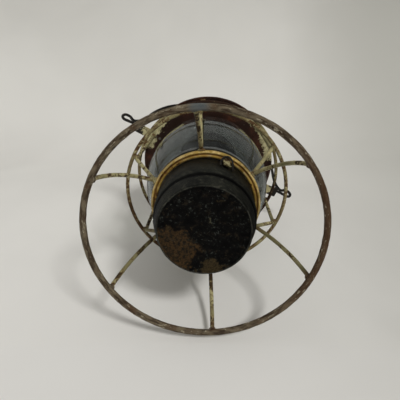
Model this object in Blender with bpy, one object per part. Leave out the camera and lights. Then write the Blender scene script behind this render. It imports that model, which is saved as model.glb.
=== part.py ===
"""Wire-bottom railway lantern with a tall clear globe, standing on its base ring.

Metres, +Z up. The origin is the centre of the base ring on the ground. +X runs along the bail's pivot axis.
"""

import math

import bmesh
import bpy
from mathutils import Matrix, Vector
from mathutils.geometry import interpolate_bezier

# Gap left between two pieces that touch on the real lantern
SEAT = 0.0003
SHEET = 0.0007

# Base ring
RING_RADIUS = 0.0825
RING_WIRE = 0.0047

# Globe seat band, a pressed collar with two beads round its lower edge
BAND_LIP_RADIUS = 0.0386
BEADS_WIDTH = 0.0051
BAND_RADIUS = BAND_LIP_RADIUS + BEADS_WIDTH
BEAD_STANDS_OUT = 0.0011
BAND_WALL_RADIUS = BAND_RADIUS - BEAD_STANDS_OUT
BAND_Z = 0.0530
BAND_HEIGHT = 0.0090
BEAD_HEIGHT = 0.0045

# Globe, whose foot stands inside the band
GLOBE_HEIGHT = 0.1365
GLOBE_FOOT_GAP = 0.0021
GLOBE_BASE_RADIUS = BAND_WALL_RADIUS - SHEET - GLOBE_FOOT_GAP
GLOBE_RADIUS = 0.0562
GLOBE_NECK_RADIUS = 0.0372
GLOBE_WALL = 0.0026
GLOBE_FITTER = 0.0060
GLOBE_RIM = 0.0072

# Heights that follow from the seat: gallery plate on the ridge between the beads, and globe on the plate
BAND_SEAT_Z = BAND_Z + SHEET + SEAT
GALLERY_Z = BAND_Z + SHEET * 2.3 + 2 * SEAT
GLOBE_Z = GALLERY_Z + SHEET + SEAT
GLOBE_TOP_Z = GLOBE_Z + GLOBE_HEIGHT

# Brim, the sheet top plate over the guard, as wide as the hoops that clear the globe
HOOP_CLEARS_GLOBE = 0.0138
HOOP_RADIUS = GLOBE_RADIUS + HOOP_CLEARS_GLOBE
BRIM_OVERHANG = 0.0012
BRIM_RADIUS = HOOP_RADIUS + BRIM_OVERHANG
BRIM_BELOW_NECK = 0.00121
BRIM_EDGE_Z = GLOBE_TOP_Z - BRIM_BELOW_NECK
BRIM_SLOPE = 0.15
BRIM_BEAD = 0.0028
TOP_COLLAR_RADIUS = 0.0460
TOP_COLLAR_ABOVE = 0.0062
TOP_COLLAR_BELOW = 0.0050

# Guard wires and hoops
GUARD_WIRES = 6
GUARD_WIRE = 0.0032
HOOP_WIRE = 0.0032
LOWER_HOOP_Z = 0.0914
UPPER_HOOP_DROP = 0.0405
UPPER_HOOP_Z = BRIM_EDGE_Z - UPPER_HOOP_DROP
SHOULDER_DROP = 0.0044
GUARD_SHOULDER_Z = LOWER_HOOP_Z - SHOULDER_DROP
GUARD_WAIST_BEND = 0.0030
GUARD_SHOULDER_BEND = 0.0100

# Oil fount, its bayonet lugs and collar
FOUNT_Z = 0.0025
FOUNT_GAP = 0.0006
FOUNT_RADIUS = BAND_LIP_RADIUS - FOUNT_GAP
FOUNT_TAPER = 0.0070
FOUNT_FOOT_RADIUS = FOUNT_RADIUS - FOUNT_TAPER
FOUNT_SEAM_STEP = 0.0020
FOUNT_SEAM_RADIUS = FOUNT_RADIUS - FOUNT_SEAM_STEP
FOUNT_CUP_HEIGHT = 0.0125
FOUNT_SEAM_Z = FOUNT_Z + FOUNT_CUP_HEIGHT
FOUNT_WALL = 0.0006
FOUNT_TOP_Z = GALLERY_Z - SHEET
LUG_WIDTH = 0.0080
LUG_REACH = 0.0016
LUG_ROOT = 0.0015
LUG_ANGLE = math.radians(60)
FOUNT_TWIST = math.radians(30)
COLLAR_BORE = 0.0125
COLLAR_WALL = 0.0020
COLLAR_HEIGHT = 0.0032
COLLAR_Z = FOUNT_TOP_Z + SEAT

# Burner, wick and wick raiser
BURNER_Z = COLLAR_Z + COLLAR_HEIGHT + SEAT
BURNER_RADIUS = 0.0172
BURNER_HEIGHT = 0.0130
BURNER_DECK = 0.0008
BURNER_AIR_HOLES = 8
BURNER_AIR_HOLE = 0.0030
CONE_HEIGHT = 0.0100
CONE_SLOT = (0.0230, 0.0060)
WICK_WIDTH = 0.0190
WICK_THICKNESS = 0.0018
WICK_BOTTOM_Z = 0.0100
WICK_SHOWS = 0.0025
TUBE_WALL = 0.0005
TUBE_GAP = 0.0005
TUBE_LENGTH = 0.0260
TUBE_ABOVE_DECK = 0.0200
TUBE_TOP_Z = BURNER_Z + TUBE_ABOVE_DECK
SPUR_RADIUS = 0.0034
SPUR_WIDTH = 0.0016
SPUR_TEETH = 8
SPUR_SPACING = 0.0100
SHAFT_RADIUS = 0.0008
SHAFT_GAP = 0.0004
SHAFT_Y = -(WICK_THICKNESS / 2 + SPUR_RADIUS + SEAT)
SHAFT_HEIGHT = 0.0068
SHAFT_Z = BURNER_Z + SHAFT_HEIGHT
KNOB_RADIUS = 0.0040
KNOB_WIDTH = 0.0020
KNOB_STANDOFF = 0.0030
KNOB_X = BURNER_RADIUS + KNOB_STANDOFF

# Gallery plate under the globe
GALLERY_BORE = 0.0250
GALLERY_HOLES = 15
GALLERY_HOLE = 0.0044

# Lid: vent drum, smoke dome, globe retainer and lift tab
LID_SKIRT_GAP = 0.0010
LID_SKIRT_HEIGHT = 0.0072
LID_SKIRT_RADIUS = TOP_COLLAR_RADIUS + LID_SKIRT_GAP + SHEET
LID_Z = BRIM_EDGE_Z + BRIM_SLOPE * (BRIM_RADIUS - TOP_COLLAR_RADIUS) + SHEET + SEAT
DRUM_STEP = 0.0060
DRUM_RADIUS = TOP_COLLAR_RADIUS - DRUM_STEP
DRUM_HEIGHT = 0.0150
DRUM_TOP_Z = LID_Z + LID_SKIRT_HEIGHT + DRUM_HEIGHT
VENT_COUNT = 12
VENT_DIAMETER = 0.0060
DOME_OVERHANG = 0.0050
DOME_RADIUS = DRUM_RADIUS + DOME_OVERHANG
DOME_DROP = 0.0040
DOME_HEIGHT = 0.0230
CROWN_RADIUS = 0.0120
CROWN_HEIGHT = 0.0080
RETAINER_OVERLAP = 0.0042
RETAINER_BORE = GLOBE_NECK_RADIUS - RETAINER_OVERLAP
TAB_LENGTH = 0.0100
TAB_WIDTH = 0.0140

# Lid hinge, on the side away from the bail's lean
HINGE_STANDOFF = 0.0028
HINGE_Y = LID_SKIRT_RADIUS + HINGE_STANDOFF
HINGE_RISE = 0.0032
HINGE_WIDTH = 0.0160
KNUCKLE_WIDTH = 0.0058
KNUCKLE_RADIUS = 0.0020
HINGE_PIN_RADIUS = 0.0010
HINGE_PIN_GAP = 0.0003
LEAF_LENGTH = (BRIM_RADIUS - BRIM_BEAD - HINGE_Y) * 0.6145
LEAF_SHEET = 0.0008

# Bail and its ears
EAR_REACH = 0.0168
EAR_X = BRIM_RADIUS + EAR_REACH
EAR_WIDTH = 0.0100
EAR_SHEET = 0.0012
EAR_FOOT_X = TOP_COLLAR_RADIUS + (BRIM_RADIUS - TOP_COLLAR_RADIUS) * 0.4365
PIVOT_RISE = 0.0153
PIVOT_Z = BRIM_EDGE_Z + PIVOT_RISE
BAIL_WIRE = 0.0032
BAIL_BORE_GAP = 0.0004
BAIL_INSET = 0.0030
BAIL_ARCH = (EAR_X - BAIL_INSET, EAR_X)
BAIL_ARCH_START = math.radians(14)
BAIL_LEAN = math.radians(30)
HOOK_REACH = 0.0200
HOOK_RISE = 0.0074
HOOK_TIP = 0.0060

# Catch on the band: a hanging tongue and a spring wire round it that grips the fount
CATCH_ANGLE = math.radians(-92)
TONGUE_WIDTH = 0.0055
TONGUE_SHEET = 0.0008
TONGUE_LENGTH = 0.0180
TONGUE_BOTTOM_Z = BAND_Z - TONGUE_LENGTH
CATCH_WIRE = 0.0016
CATCH_SPREAD = 0.0048
CATCH_LENGTH = 0.0190
CATCH_BOTTOM_Z = BAND_Z - CATCH_LENGTH

# How far a cutter reaches past the sheet it cuts
CUT_REACH = 0.0040

# Faces round each turned piece, wire and bore
ROUND = 30
SMALL_ROUND = 20
WIRE_SIDES = 8
RING_SIDES = 10
BORE_SIDES = 10


def new_material(name, color, roughness, metallic, transmission=0.0):
    material = bpy.data.materials.new(name)
    material.use_nodes = True
    shader = material.node_tree.nodes["Principled BSDF"]
    shader.inputs["Base Color"].default_value = (*color, 1.0)
    shader.inputs["Roughness"].default_value = roughness
    shader.inputs["Metallic"].default_value = metallic
    shader.inputs["Transmission Weight"].default_value = transmission
    return material


def link(name, data, material, parent=None):
    obj = bpy.data.objects.new(name, data)
    bpy.context.scene.collection.objects.link(obj)
    if material is not None:
        data.materials.append(material)
    obj.parent = parent
    return obj


def pivot(name, place, rotation=(0.0, 0.0, 0.0)):
    """An empty on a joint's axis, which the pieces of a moving body hang from."""
    empty = bpy.data.objects.new(name, None)
    bpy.context.scene.collection.objects.link(empty)
    empty.location = place
    empty.rotation_euler = rotation
    bpy.context.view_layer.update()
    return empty


def hang(obj, empty):
    """Parents obj to the empty and leaves it where it is."""
    obj.parent = empty
    obj.matrix_parent_inverse = empty.matrix_world.inverted()
    return obj


def mesh_from(name, bm):
    bmesh.ops.recalc_face_normals(bm, faces=bm.faces)
    mesh = bpy.data.meshes.new(name)
    bm.to_mesh(mesh)
    bm.free()
    mesh.shade_smooth()
    mesh.set_sharp_from_angle(angle=math.radians(35))
    return mesh


def lathe(name, section, material, steps=ROUND):
    """Turns a closed (radius, z) section round Z."""
    bm = bmesh.new()
    rings = []
    for radius, z in section:
        if radius == 0.0:
            rings.append([bm.verts.new((0.0, 0.0, z))])
            continue
        turns = [2 * math.pi * i / steps for i in range(steps)]
        rings.append([bm.verts.new((radius * math.cos(t), radius * math.sin(t), z)) for t in turns])
    for first, second in zip(rings, rings[1:] + rings[:1]):
        if len(first) == len(second) == 1:
            continue
        for i in range(steps):
            j = (i + 1) % steps
            corners = [first[i % len(first)], first[j % len(first)]]
            corners += [second[j % len(second)], second[i % len(second)]]
            bm.faces.new(list(dict.fromkeys(corners)))
    return link(name, mesh_from(name, bm), material)


def offset_path(path, distance):
    """The path moved sideways, to the left of its direction, with mitred corners."""
    moved = []
    points = [Vector(p) for p in path]
    for i, point in enumerate(points):
        before = (point - points[i - 1]).normalized() if i else None
        after = (points[i + 1] - point).normalized() if i + 1 < len(points) else None
        before = before or after
        after = after or before
        normal_before = Vector((-before.y, before.x))
        normal_after = Vector((-after.y, after.x))
        miter = (normal_before + normal_after).normalized()
        moved.append(tuple(point + miter * (distance / miter.dot(normal_after))))
    return moved


def sheet_section(path, thickness):
    """The closed section of a sheet whose face follows the path, thickened to its left."""
    return list(path) + list(reversed(offset_path(path, thickness)))


def arc(center, radius, start, end, steps):
    angles = [start + (end - start) * i / steps for i in range(steps + 1)]
    return [(center[0] + radius * math.cos(a), center[1] + radius * math.sin(a)) for a in angles]


def rounded(path, bends, steps=3):
    """The path with an arc at each inner corner that has a bend radius."""
    points = [Vector(p) for p in path]
    result = [points[0]]
    for i in range(1, len(points) - 1):
        back = (points[i - 1] - points[i]).normalized()
        ahead = (points[i + 1] - points[i]).normalized()
        if not bends[i]:
            result.append(points[i])
            continue
        half = back.angle(ahead) / 2
        center = points[i] + (back + ahead).normalized() * (bends[i] / math.sin(half))
        start = points[i] + back * (bends[i] / math.tan(half)) - center
        finish = points[i] + ahead * (bends[i] / math.tan(half)) - center
        for k in range(steps + 1):
            result.append(center + start.slerp(finish, k / steps) * bends[i])
    result.append(points[-1])
    return [(p.x, p.y) for p in result]


def wire(name, points, diameter, material):
    """A round wire along 3-D points."""
    curve = bpy.data.curves.new(name, "CURVE")
    curve.dimensions = "3D"
    curve.bevel_depth = diameter / 2
    curve.bevel_resolution = WIRE_SIDES // 2 - 2
    curve.use_fill_caps = True
    spline = curve.splines.new("POLY")
    spline.points.add(len(points) - 1)
    for target, point in zip(spline.points, points):
        target.co = (*point, 1.0)
    spline.use_smooth = True
    return link(name, curve, material)


def hoop(name, radius, diameter, z, material, sides=WIRE_SIDES, steps=42):
    center = (radius, z)
    flat = math.pi / sides - math.pi / 2
    section = arc(center, diameter / 2, flat, flat + 2 * math.pi, sides)[:-1]
    return lathe(name, section, material, steps)


def extrude(name, outline, depth, material):
    """A prism of an (x, z) outline, centred on y = 0."""
    bm = bmesh.new()
    near = [bm.verts.new((x, -depth / 2, z)) for x, z in outline]
    face = bm.faces.new(near)
    swept = bmesh.ops.extrude_face_region(bm, geom=[face])["geom"]
    moved = [item for item in swept if isinstance(item, bmesh.types.BMVert)]
    bmesh.ops.translate(bm, verts=moved, vec=(0.0, depth, 0.0))
    return link(name, mesh_from(name, bm), material)


def cylinders(name, placements, radius, depth, sides=BORE_SIDES, material=None):
    """Cylinders, each along the local Z of its matrix, in one mesh."""
    bm = bmesh.new()
    for matrix in placements:
        size = dict(segments=sides, radius1=radius, radius2=radius, depth=depth)
        bmesh.ops.create_cone(bm, cap_ends=True, matrix=matrix, **size)
    return link(name, mesh_from(name, bm), material)


def box(name, size, center, material=None):
    bm = bmesh.new()
    place = Matrix.Translation(center) @ Matrix.Diagonal((*size, 1.0))
    bmesh.ops.create_cube(bm, size=1.0, matrix=place)
    return link(name, mesh_from(name, bm), material)


def combine(obj, helper, operation):
    """Joins or cuts with a helper, which isn't a piece itself."""
    helper.hide_render = True
    helper.display_type = "WIRE"
    helper.hide_set(True)
    modifier = obj.modifiers.new(helper.name, "BOOLEAN")
    modifier.object = helper
    modifier.operation = operation
    modifier.solver = "EXACT"


def along_x(center):
    return Matrix.Translation(center) @ Matrix.Rotation(math.radians(90), 4, "Y")


def round_z(angle):
    return Matrix.Rotation(angle, 4, "Z")


def brim_under_z(radius):
    """Height of the brim's underside at a radius."""
    return BRIM_EDGE_Z + BRIM_SLOPE * (BRIM_RADIUS - radius)


def band_path():
    """The band's outer face from its inner lip, out under both beads and up the wall."""
    groove = (BAND_LIP_RADIUS + BAND_RADIUS) / 2
    inner = (groove - BAND_LIP_RADIUS) * 0.28
    outer = (BAND_RADIUS - groove) * 0.35
    lift = SHEET * 1.2
    bead_top = BAND_Z + BEAD_HEIGHT
    return [
        (BAND_LIP_RADIUS, BAND_Z),
        (groove - inner, BAND_Z),
        (groove, BAND_Z + lift),
        (groove + inner, BAND_Z + SHEET * 0.3),
        (BAND_RADIUS - outer * 0.4, BAND_Z + SHEET * 0.5),
        (BAND_RADIUS, BAND_Z + SHEET * 1.8),
        (BAND_RADIUS, bead_top - SHEET),
        (BAND_WALL_RADIUS, bead_top + SHEET),
        (BAND_WALL_RADIUS, BAND_Z + BAND_HEIGHT),
    ]


def base_and_guard(paint, steel):
    ring_z = RING_WIRE / 2 * math.cos(math.pi / RING_SIDES)
    hoop("base_ring", RING_RADIUS, RING_WIRE, ring_z, steel, RING_SIDES, 54)
    hoop("lower_hoop", HOOP_RADIUS, HOOP_WIRE, LOWER_HOOP_Z, paint)
    hoop("upper_hoop", HOOP_RADIUS, HOOP_WIRE, UPPER_HOOP_Z, paint)
    profile = guard_profile()
    for i in range(GUARD_WIRES):
        angle = 2 * math.pi * i / GUARD_WIRES
        points = [round_z(angle) @ Vector((r, 0.0, z)) for r, z in profile]
        wire(f"guard_wire_{i + 1}", points, GUARD_WIRE, paint)


def guard_profile():
    """One guard wire as (radius, z): in from the ring to the band, out to the hoops and up to the brim."""
    post = HOOP_RADIUS - HOOP_WIRE / 2 - SEAT - GUARD_WIRE / 2
    band_z = BAND_Z + BEAD_HEIGHT * 0.55
    touch = BAND_RADIUS + SEAT + GUARD_WIRE / 2
    shoulder = Vector((post, GUARD_SHOULDER_Z))
    aim = Vector((0.237, -0.971)).normalized()
    foot = Vector((RING_RADIUS, RING_WIRE / 2)) - aim * (RING_WIRE / 2 + SEAT)
    waist = Vector((touch, band_z))
    handle = Vector((0.926, -0.378)).normalized()
    up = (shoulder - waist).normalized()
    half = handle.angle(up) / 2
    bisector = (handle + up).normalized()
    waist.x -= bisector.x * GUARD_WAIST_BEND / math.sin(half) - GUARD_WAIST_BEND
    span = (foot - waist).length
    flare = [foot, foot - aim * span * 0.41, waist + handle * span * 0.29, waist]
    samples = interpolate_bezier(*[Vector((p.x, p.y, 0.0)) for p in flare], 7)
    path = [(p.x, p.y) for p in samples] + [tuple(shoulder)]
    path.append((post, brim_under_z(BRIM_RADIUS - BRIM_BEAD) - 2 * SEAT))
    bends = [0.0] * len(path)
    bends[-3] = GUARD_WAIST_BEND
    bends[-2] = GUARD_SHOULDER_BEND
    return rounded(path, bends)


def band_and_gallery(paint, tin):
    band = lathe("globe_seat_band", sheet_section(band_path(), SHEET), paint)
    slots = []
    for side in (0.0, math.pi):
        angle = LUG_ANGLE + FOUNT_TWIST + side
        slots.append(lug_box(f"lug_slot_{len(slots)}", angle, SEAT + SHEET, 2 * SEAT, BAND_Z, CUT_REACH))
    for slot in slots:
        combine(band, slot, "DIFFERENCE")
    rim = BAND_RADIUS - SHEET - SEAT
    z = GALLERY_Z
    section = [(GALLERY_BORE, z), (rim, z), (rim, z + SHEET), (GALLERY_BORE, z + SHEET)]
    plate = lathe("gallery_plate", section, tin)
    radius = (GALLERY_BORE + GLOBE_BASE_RADIUS - GLOBE_WALL) / 2
    turns = [2 * math.pi * (i + 0.5) / GALLERY_HOLES for i in range(GALLERY_HOLES)]
    places = [round_z(t) @ Matrix.Translation((radius, 0.0, z)) for t in turns]
    combine(plate, cylinders("gallery_holes", places, GALLERY_HOLE / 2, CUT_REACH, 6), "DIFFERENCE")


def lug_box(name, angle, widen, deepen, z, height):
    """A box at the fount's rim, as long and wide as a lug plus what is asked."""
    length = LUG_ROOT + LUG_REACH + deepen
    middle = FOUNT_RADIUS - LUG_ROOT + length / 2
    obj = box(name, (length, LUG_WIDTH + 2 * widen, height), (middle, 0.0, z))
    obj.data.transform(round_z(angle))
    return obj


def fount_section():
    """The closed tank's section: flat bottom, flared cup, seam step, straight side and top with a bore."""
    top = FOUNT_TOP_Z
    edge = 0.0022
    path = [(0.0, FOUNT_Z), (FOUNT_FOOT_RADIUS, FOUNT_Z)]
    path += [(FOUNT_FOOT_RADIUS + edge * 0.7, FOUNT_Z + edge * 0.3)]
    path += [(FOUNT_FOOT_RADIUS + edge, FOUNT_Z + edge)]
    path += [(FOUNT_SEAM_RADIUS, FOUNT_SEAM_Z)]
    path += [(FOUNT_SEAM_RADIUS - 0.0010, FOUNT_SEAM_Z + 0.0005)]
    path += [(FOUNT_SEAM_RADIUS - 0.0010, FOUNT_SEAM_Z + 0.0016)]
    path += [(FOUNT_SEAM_RADIUS + 0.0008, FOUNT_SEAM_Z + 0.0028)]
    path += [(FOUNT_RADIUS, FOUNT_SEAM_Z + 0.0100)]
    path += [(FOUNT_RADIUS, top - 0.0010)]
    path += [(FOUNT_RADIUS - 0.0010, top)]
    path += [(COLLAR_BORE, top)]
    return sheet_section(path, FOUNT_WALL)


def fount_body(tin, brass, cotton):
    empty = pivot("fount_axis", (0.0, 0.0, FOUNT_Z))
    fount = hang(lathe("fount", fount_section(), tin), empty)
    thickness = FOUNT_TOP_Z - BAND_SEAT_Z - FOUNT_WALL / 6
    for i, side in enumerate((0.0, math.pi)):
        z = BAND_SEAT_Z + thickness / 2
        combine(fount, lug_box(f"lug_{i}", LUG_ANGLE + side, 0.0, 0.0, z, thickness), "UNION")
    rim = COLLAR_BORE + COLLAR_WALL
    low = COLLAR_Z
    high = low + COLLAR_HEIGHT
    section = [(COLLAR_BORE, low), (rim, low), (rim, high), (COLLAR_BORE, high)]
    hang(lathe("fount_collar", section, brass, SMALL_ROUND), empty)
    for piece in (burner_body(brass), burner_cone(brass), wick_tube(brass)):
        hang(piece, empty)
    low = WICK_BOTTOM_Z
    high = TUBE_TOP_Z + WICK_SHOWS
    size = (WICK_WIDTH, WICK_THICKNESS, high - low)
    hang(box("wick", size, (0.0, 0.0, (low + high) / 2), cotton), empty)
    wick_raiser(brass, empty)


def tube_outer(extra):
    """Width and depth of the wick tube's outside plus a gap all round."""
    margin = 2 * (TUBE_GAP + TUBE_WALL + extra)
    return WICK_WIDTH + margin, WICK_THICKNESS + margin


def burner_body(brass):
    """Thread skirt, deck and perforated air chamber in one pressing."""
    low = BURNER_Z
    skirt = COLLAR_BORE - SEAT
    flange = COLLAR_BORE + COLLAR_WALL
    deck = low + BURNER_DECK
    wall = BURNER_RADIUS - SHEET
    top = low + BURNER_HEIGHT
    foot = low - COLLAR_HEIGHT
    section = [(0.0, low), (skirt - SHEET, low), (skirt - SHEET, foot), (skirt, foot)]
    section += [(skirt, low), (flange, low), (BURNER_RADIUS, low + (BURNER_RADIUS - flange))]
    section += [(BURNER_RADIUS, top), (wall, top), (wall, low + (BURNER_RADIUS - flange) + SHEET / 2)]
    section += [(flange - SHEET / 2, deck), (0.0, deck)]
    body = lathe("burner_body", section, brass, SMALL_ROUND)
    width, depth = tube_outer(SEAT)
    combine(body, box("tube_slot", (width, depth, 2 * CUT_REACH), (0.0, 0.0, low)), "DIFFERENCE")
    turns = [2 * math.pi * i / BURNER_AIR_HOLES for i in range(BURNER_AIR_HOLES)]
    hole_z = low + BURNER_HEIGHT * 0.62
    places = [round_z(t) @ along_x((BURNER_RADIUS, 0.0, hole_z)) for t in turns]
    holes = cylinders("air_holes", places, BURNER_AIR_HOLE / 2, CUT_REACH, 6)
    combine(body, holes, "DIFFERENCE")
    place = Vector((0.0, SHAFT_Y, SHAFT_Z))
    place.x = BURNER_RADIUS
    bore = cylinders("shaft_bore", [along_x(place)], SHAFT_RADIUS + SHAFT_GAP, CUT_REACH)
    combine(body, bore, "DIFFERENCE")
    return body


def burner_cone(brass):
    low = BURNER_Z + BURNER_HEIGHT + SEAT
    high = low + CONE_HEIGHT
    path = [(BURNER_RADIUS, low), (BURNER_RADIUS, low + 0.0015), (BURNER_RADIUS * 0.93, low + 0.0045)]
    path += [(BURNER_RADIUS * 0.72, low + CONE_HEIGHT * 0.78), (BURNER_RADIUS * 0.4, high - 0.0006)]
    path += [(BURNER_RADIUS * 0.2, high), (0.0, high)]
    cone = lathe("burner_cone", sheet_section(path, SHEET), brass, SMALL_ROUND)
    combine(cone, box("flame_slot", (*CONE_SLOT, 2 * CONE_HEIGHT), (0.0, 0.0, high)), "DIFFERENCE")
    return cone


def wick_tube(brass):
    width, depth = tube_outer(0.0)
    top = TUBE_TOP_Z
    middle = top - TUBE_LENGTH / 2
    tube = box("wick_tube", (width, depth, TUBE_LENGTH), (0.0, 0.0, middle), brass)
    bore = (width - 2 * TUBE_WALL, depth - 2 * TUBE_WALL, TUBE_LENGTH + CUT_REACH)
    combine(tube, box("tube_bore", bore, (0.0, 0.0, middle)), "DIFFERENCE")
    place = Vector((0.0, SHAFT_Y, SHAFT_Z))
    for i, side in enumerate((-1, 1)):
        center = (side * SPUR_SPACING / 2, -depth / 2, place.z)
        window = (SPUR_WIDTH + 2 * SEAT, depth, 2 * SPUR_RADIUS + 2 * SEAT)
        combine(tube, box(f"spur_window_{i}", window, center), "DIFFERENCE")
    return tube


def wick_raiser(brass, parent):
    """Shaft with two spur wheels that grip the wick and a knob outside the burner."""
    place = Vector((0.0, SHAFT_Y, SHAFT_Z))
    empty = pivot("wick_raiser_axis", place)
    hang(empty, parent)
    start = -SPUR_SPACING / 2 - SPUR_WIDTH
    end = KNOB_X + KNOB_WIDTH / 2
    middle = place + Vector(((start + end) / 2, 0.0, 0.0))
    shaft = cylinders("wick_shaft", [along_x(middle)], SHAFT_RADIUS, end - start, BORE_SIDES, brass)
    for i, side in enumerate((-1, 1)):
        center = place + Vector((side * SPUR_SPACING / 2, 0.0, 0.0))
        combine(shaft, spur(f"spur_{i}", center), "UNION")
    knob = knurled("knob_wheel", place + Vector((KNOB_X, 0.0, 0.0)))
    combine(shaft, knob, "UNION")
    hang(shaft, empty)


def toothed(name, center, outer, root, teeth, width):
    """A wheel along X whose rim steps between two radii."""
    bm = bmesh.new()
    rim = []
    for i in range(teeth * 2):
        radius = outer if i % 2 else root
        angle = math.pi * i / teeth
        rim.append(bm.verts.new((-width / 2, radius * math.cos(angle), radius * math.sin(angle))))
    swept = bmesh.ops.extrude_face_region(bm, geom=[bm.faces.new(rim)])["geom"]
    moved = [item for item in swept if isinstance(item, bmesh.types.BMVert)]
    bmesh.ops.translate(bm, verts=moved, vec=(width, 0.0, 0.0))
    bmesh.ops.translate(bm, verts=bm.verts, vec=center)
    return link(name, mesh_from(name, bm), None)


def spur(name, center):
    return toothed(name, center, SPUR_RADIUS, SPUR_RADIUS * 0.72, SPUR_TEETH, SPUR_WIDTH)


def knurled(name, center):
    return toothed(name, center, KNOB_RADIUS, KNOB_RADIUS * 0.93, 14, KNOB_WIDTH)


def globe_path():
    """The globe's outer face from base to neck, bulging in between."""
    low = GLOBE_Z
    high = low + GLOBE_HEIGHT
    belly = low + GLOBE_HEIGHT * 0.49
    start = (GLOBE_BASE_RADIUS, low + GLOBE_FITTER)
    finish = (GLOBE_NECK_RADIUS, high - GLOBE_RIM)
    middle = (GLOBE_RADIUS, belly)
    hip = (GLOBE_RADIUS * 0.88, low + GLOBE_HEIGHT * 0.075)
    shoulder = (GLOBE_NECK_RADIUS * 1.16, high - GLOBE_HEIGHT * 0.13)
    lower = [start, hip, (GLOBE_RADIUS, low + GLOBE_HEIGHT * 0.30), middle]
    upper = [middle, (GLOBE_RADIUS, low + GLOBE_HEIGHT * 0.70), shoulder, finish]
    path = [(GLOBE_BASE_RADIUS, low)]
    for ends in (lower, upper):
        samples = interpolate_bezier(*[Vector((r, z, 0.0)) for r, z in ends], 5)
        path += [(p.x, p.y) for p in samples if (p.x, p.y) != path[-1]]
    path += [(GLOBE_NECK_RADIUS + 0.0006, high - GLOBE_RIM * 0.3), (GLOBE_NECK_RADIUS + 0.0006, high)]
    return path


def globe(glass):
    section = sheet_section(globe_path(), GLOBE_WALL)
    section[-1] = (section[-1][0], section[0][1])
    lathe("globe", section, glass)


def brim(paint):
    """Collar, sloping plate and wired edge in one section."""
    inner = TOP_COLLAR_RADIUS - SHEET
    bead = BRIM_BEAD / 2
    bead_r = BRIM_RADIUS - bead
    under = brim_under_z(TOP_COLLAR_RADIUS)
    top = under + SHEET
    bead_z = brim_under_z(bead_r) + SHEET / 2
    edge = arc((bead_r, bead_z), bead, math.radians(195), math.radians(525), 6)
    section = [(inner, under - TOP_COLLAR_BELOW), (TOP_COLLAR_RADIUS, under - TOP_COLLAR_BELOW)]
    section += [(TOP_COLLAR_RADIUS, under)] + edge
    section += [(TOP_COLLAR_RADIUS, top), (TOP_COLLAR_RADIUS, top + TOP_COLLAR_ABOVE)]
    section += [(inner, top + TOP_COLLAR_ABOVE)]
    lathe("brim", section, paint, 42)


def hinge_axis():
    return Vector((0.0, HINGE_Y, brim_under_z(HINGE_Y) + SHEET + HINGE_RISE))


def lid_body(paint, tin):
    empty = pivot("lid_axis", hinge_axis())
    pieces = [lid_drum(paint), smoke_dome(paint), globe_retainer(tin), lift_tab(paint), lid_leaf(tin)]
    for piece in pieces:
        hang(piece, empty)


def lid_drum(paint):
    """Skirt over the brim's collar, a step in and the perforated drum."""
    low = LID_Z
    skirt = LID_SKIRT_RADIUS
    step = low + LID_SKIRT_HEIGHT
    top = step + DRUM_HEIGHT
    path = [(skirt, low), (skirt, step - 0.0010), (skirt - 0.0010, step)]
    path += [(DRUM_RADIUS, step + 0.0006), (DRUM_RADIUS, top)]
    drum = lathe("lid", sheet_section(path, SHEET), paint)
    turns = [2 * math.pi * i / VENT_COUNT for i in range(VENT_COUNT)]
    z = step + DRUM_HEIGHT * 0.40
    places = [round_z(t) @ along_x((DRUM_RADIUS, 0.0, z)) for t in turns]
    combine(drum, cylinders("vent_holes", places, VENT_DIAMETER / 2, 2 * CUT_REACH, 8), "DIFFERENCE")
    return drum


def smoke_dome(paint):
    """Dome with a drip edge round the drum and a raised crown."""
    low = DRUM_TOP_Z - DOME_DROP
    seat = DRUM_TOP_Z + SEAT
    path = [(DOME_RADIUS, low), (DOME_RADIUS - 0.0004, seat - 0.0012)]
    path += [(DRUM_RADIUS + 0.0008, seat + SHEET)]
    rise = seat + DOME_HEIGHT
    start = (DRUM_RADIUS - 0.0010, seat + SHEET + 0.0004)
    handles = [(DRUM_RADIUS * 0.92, seat + DOME_HEIGHT * 0.62), (CROWN_RADIUS * 1.9, rise - 0.0010)]
    ends = [start, *handles, (CROWN_RADIUS + 0.0006, rise)]
    samples = interpolate_bezier(*[Vector((r, z, 0.0)) for r, z in ends], 6)
    path += [(p.x, p.y) for p in samples]
    top = rise + CROWN_HEIGHT
    path += [(CROWN_RADIUS, rise + 0.0010), (CROWN_RADIUS, top - 0.0028)]
    path += [(CROWN_RADIUS * 0.86, top - 0.0010), (CROWN_RADIUS * 0.45, top), (0.0, top)]
    return lathe("smoke_dome", sheet_section(path, SHEET), paint)


def globe_retainer(tin):
    """Ring in the lid that sits just over the globe's neck and hangs from the drum's step."""
    high = LID_Z + LID_SKIRT_HEIGHT - SHEET - SEAT
    low = GLOBE_Z + GLOBE_HEIGHT + SEAT
    reach = TOP_COLLAR_RADIUS - 2 * SHEET - 2 * SEAT
    path = [(RETAINER_BORE, low + SHEET * 3), (RETAINER_BORE + 0.0012, low), (reach, low), (reach, high)]
    return lathe("globe_retainer", sheet_section(path, SHEET), tin)


def lift_tab(paint):
    """Finger tab on the lid's skirt opposite the hinge."""
    root = LID_SKIRT_RADIUS + SEAT
    z = LID_Z + LID_SKIRT_HEIGHT * 0.25
    rise = LID_SKIRT_HEIGHT * 0.5
    face = root + LEAF_SHEET
    path = [(face, z + rise), (face, z), (root + TAB_LENGTH * 0.8, z), (root + TAB_LENGTH, z + 0.002)]
    outline = rounded(path, [0.0, 0.0012, 0.004, 0.0])
    tab = extrude("lift_tab", sheet_section(outline, -LEAF_SHEET), TAB_WIDTH, paint)
    tab.data.transform(round_z(math.radians(-90)))
    return tab


def knuckle(name, start, width):
    axis = hinge_axis()
    return cylinders(name, [along_x((start + width / 2, axis.y, axis.z))], KNUCKLE_RADIUS, width, 16)


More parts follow.
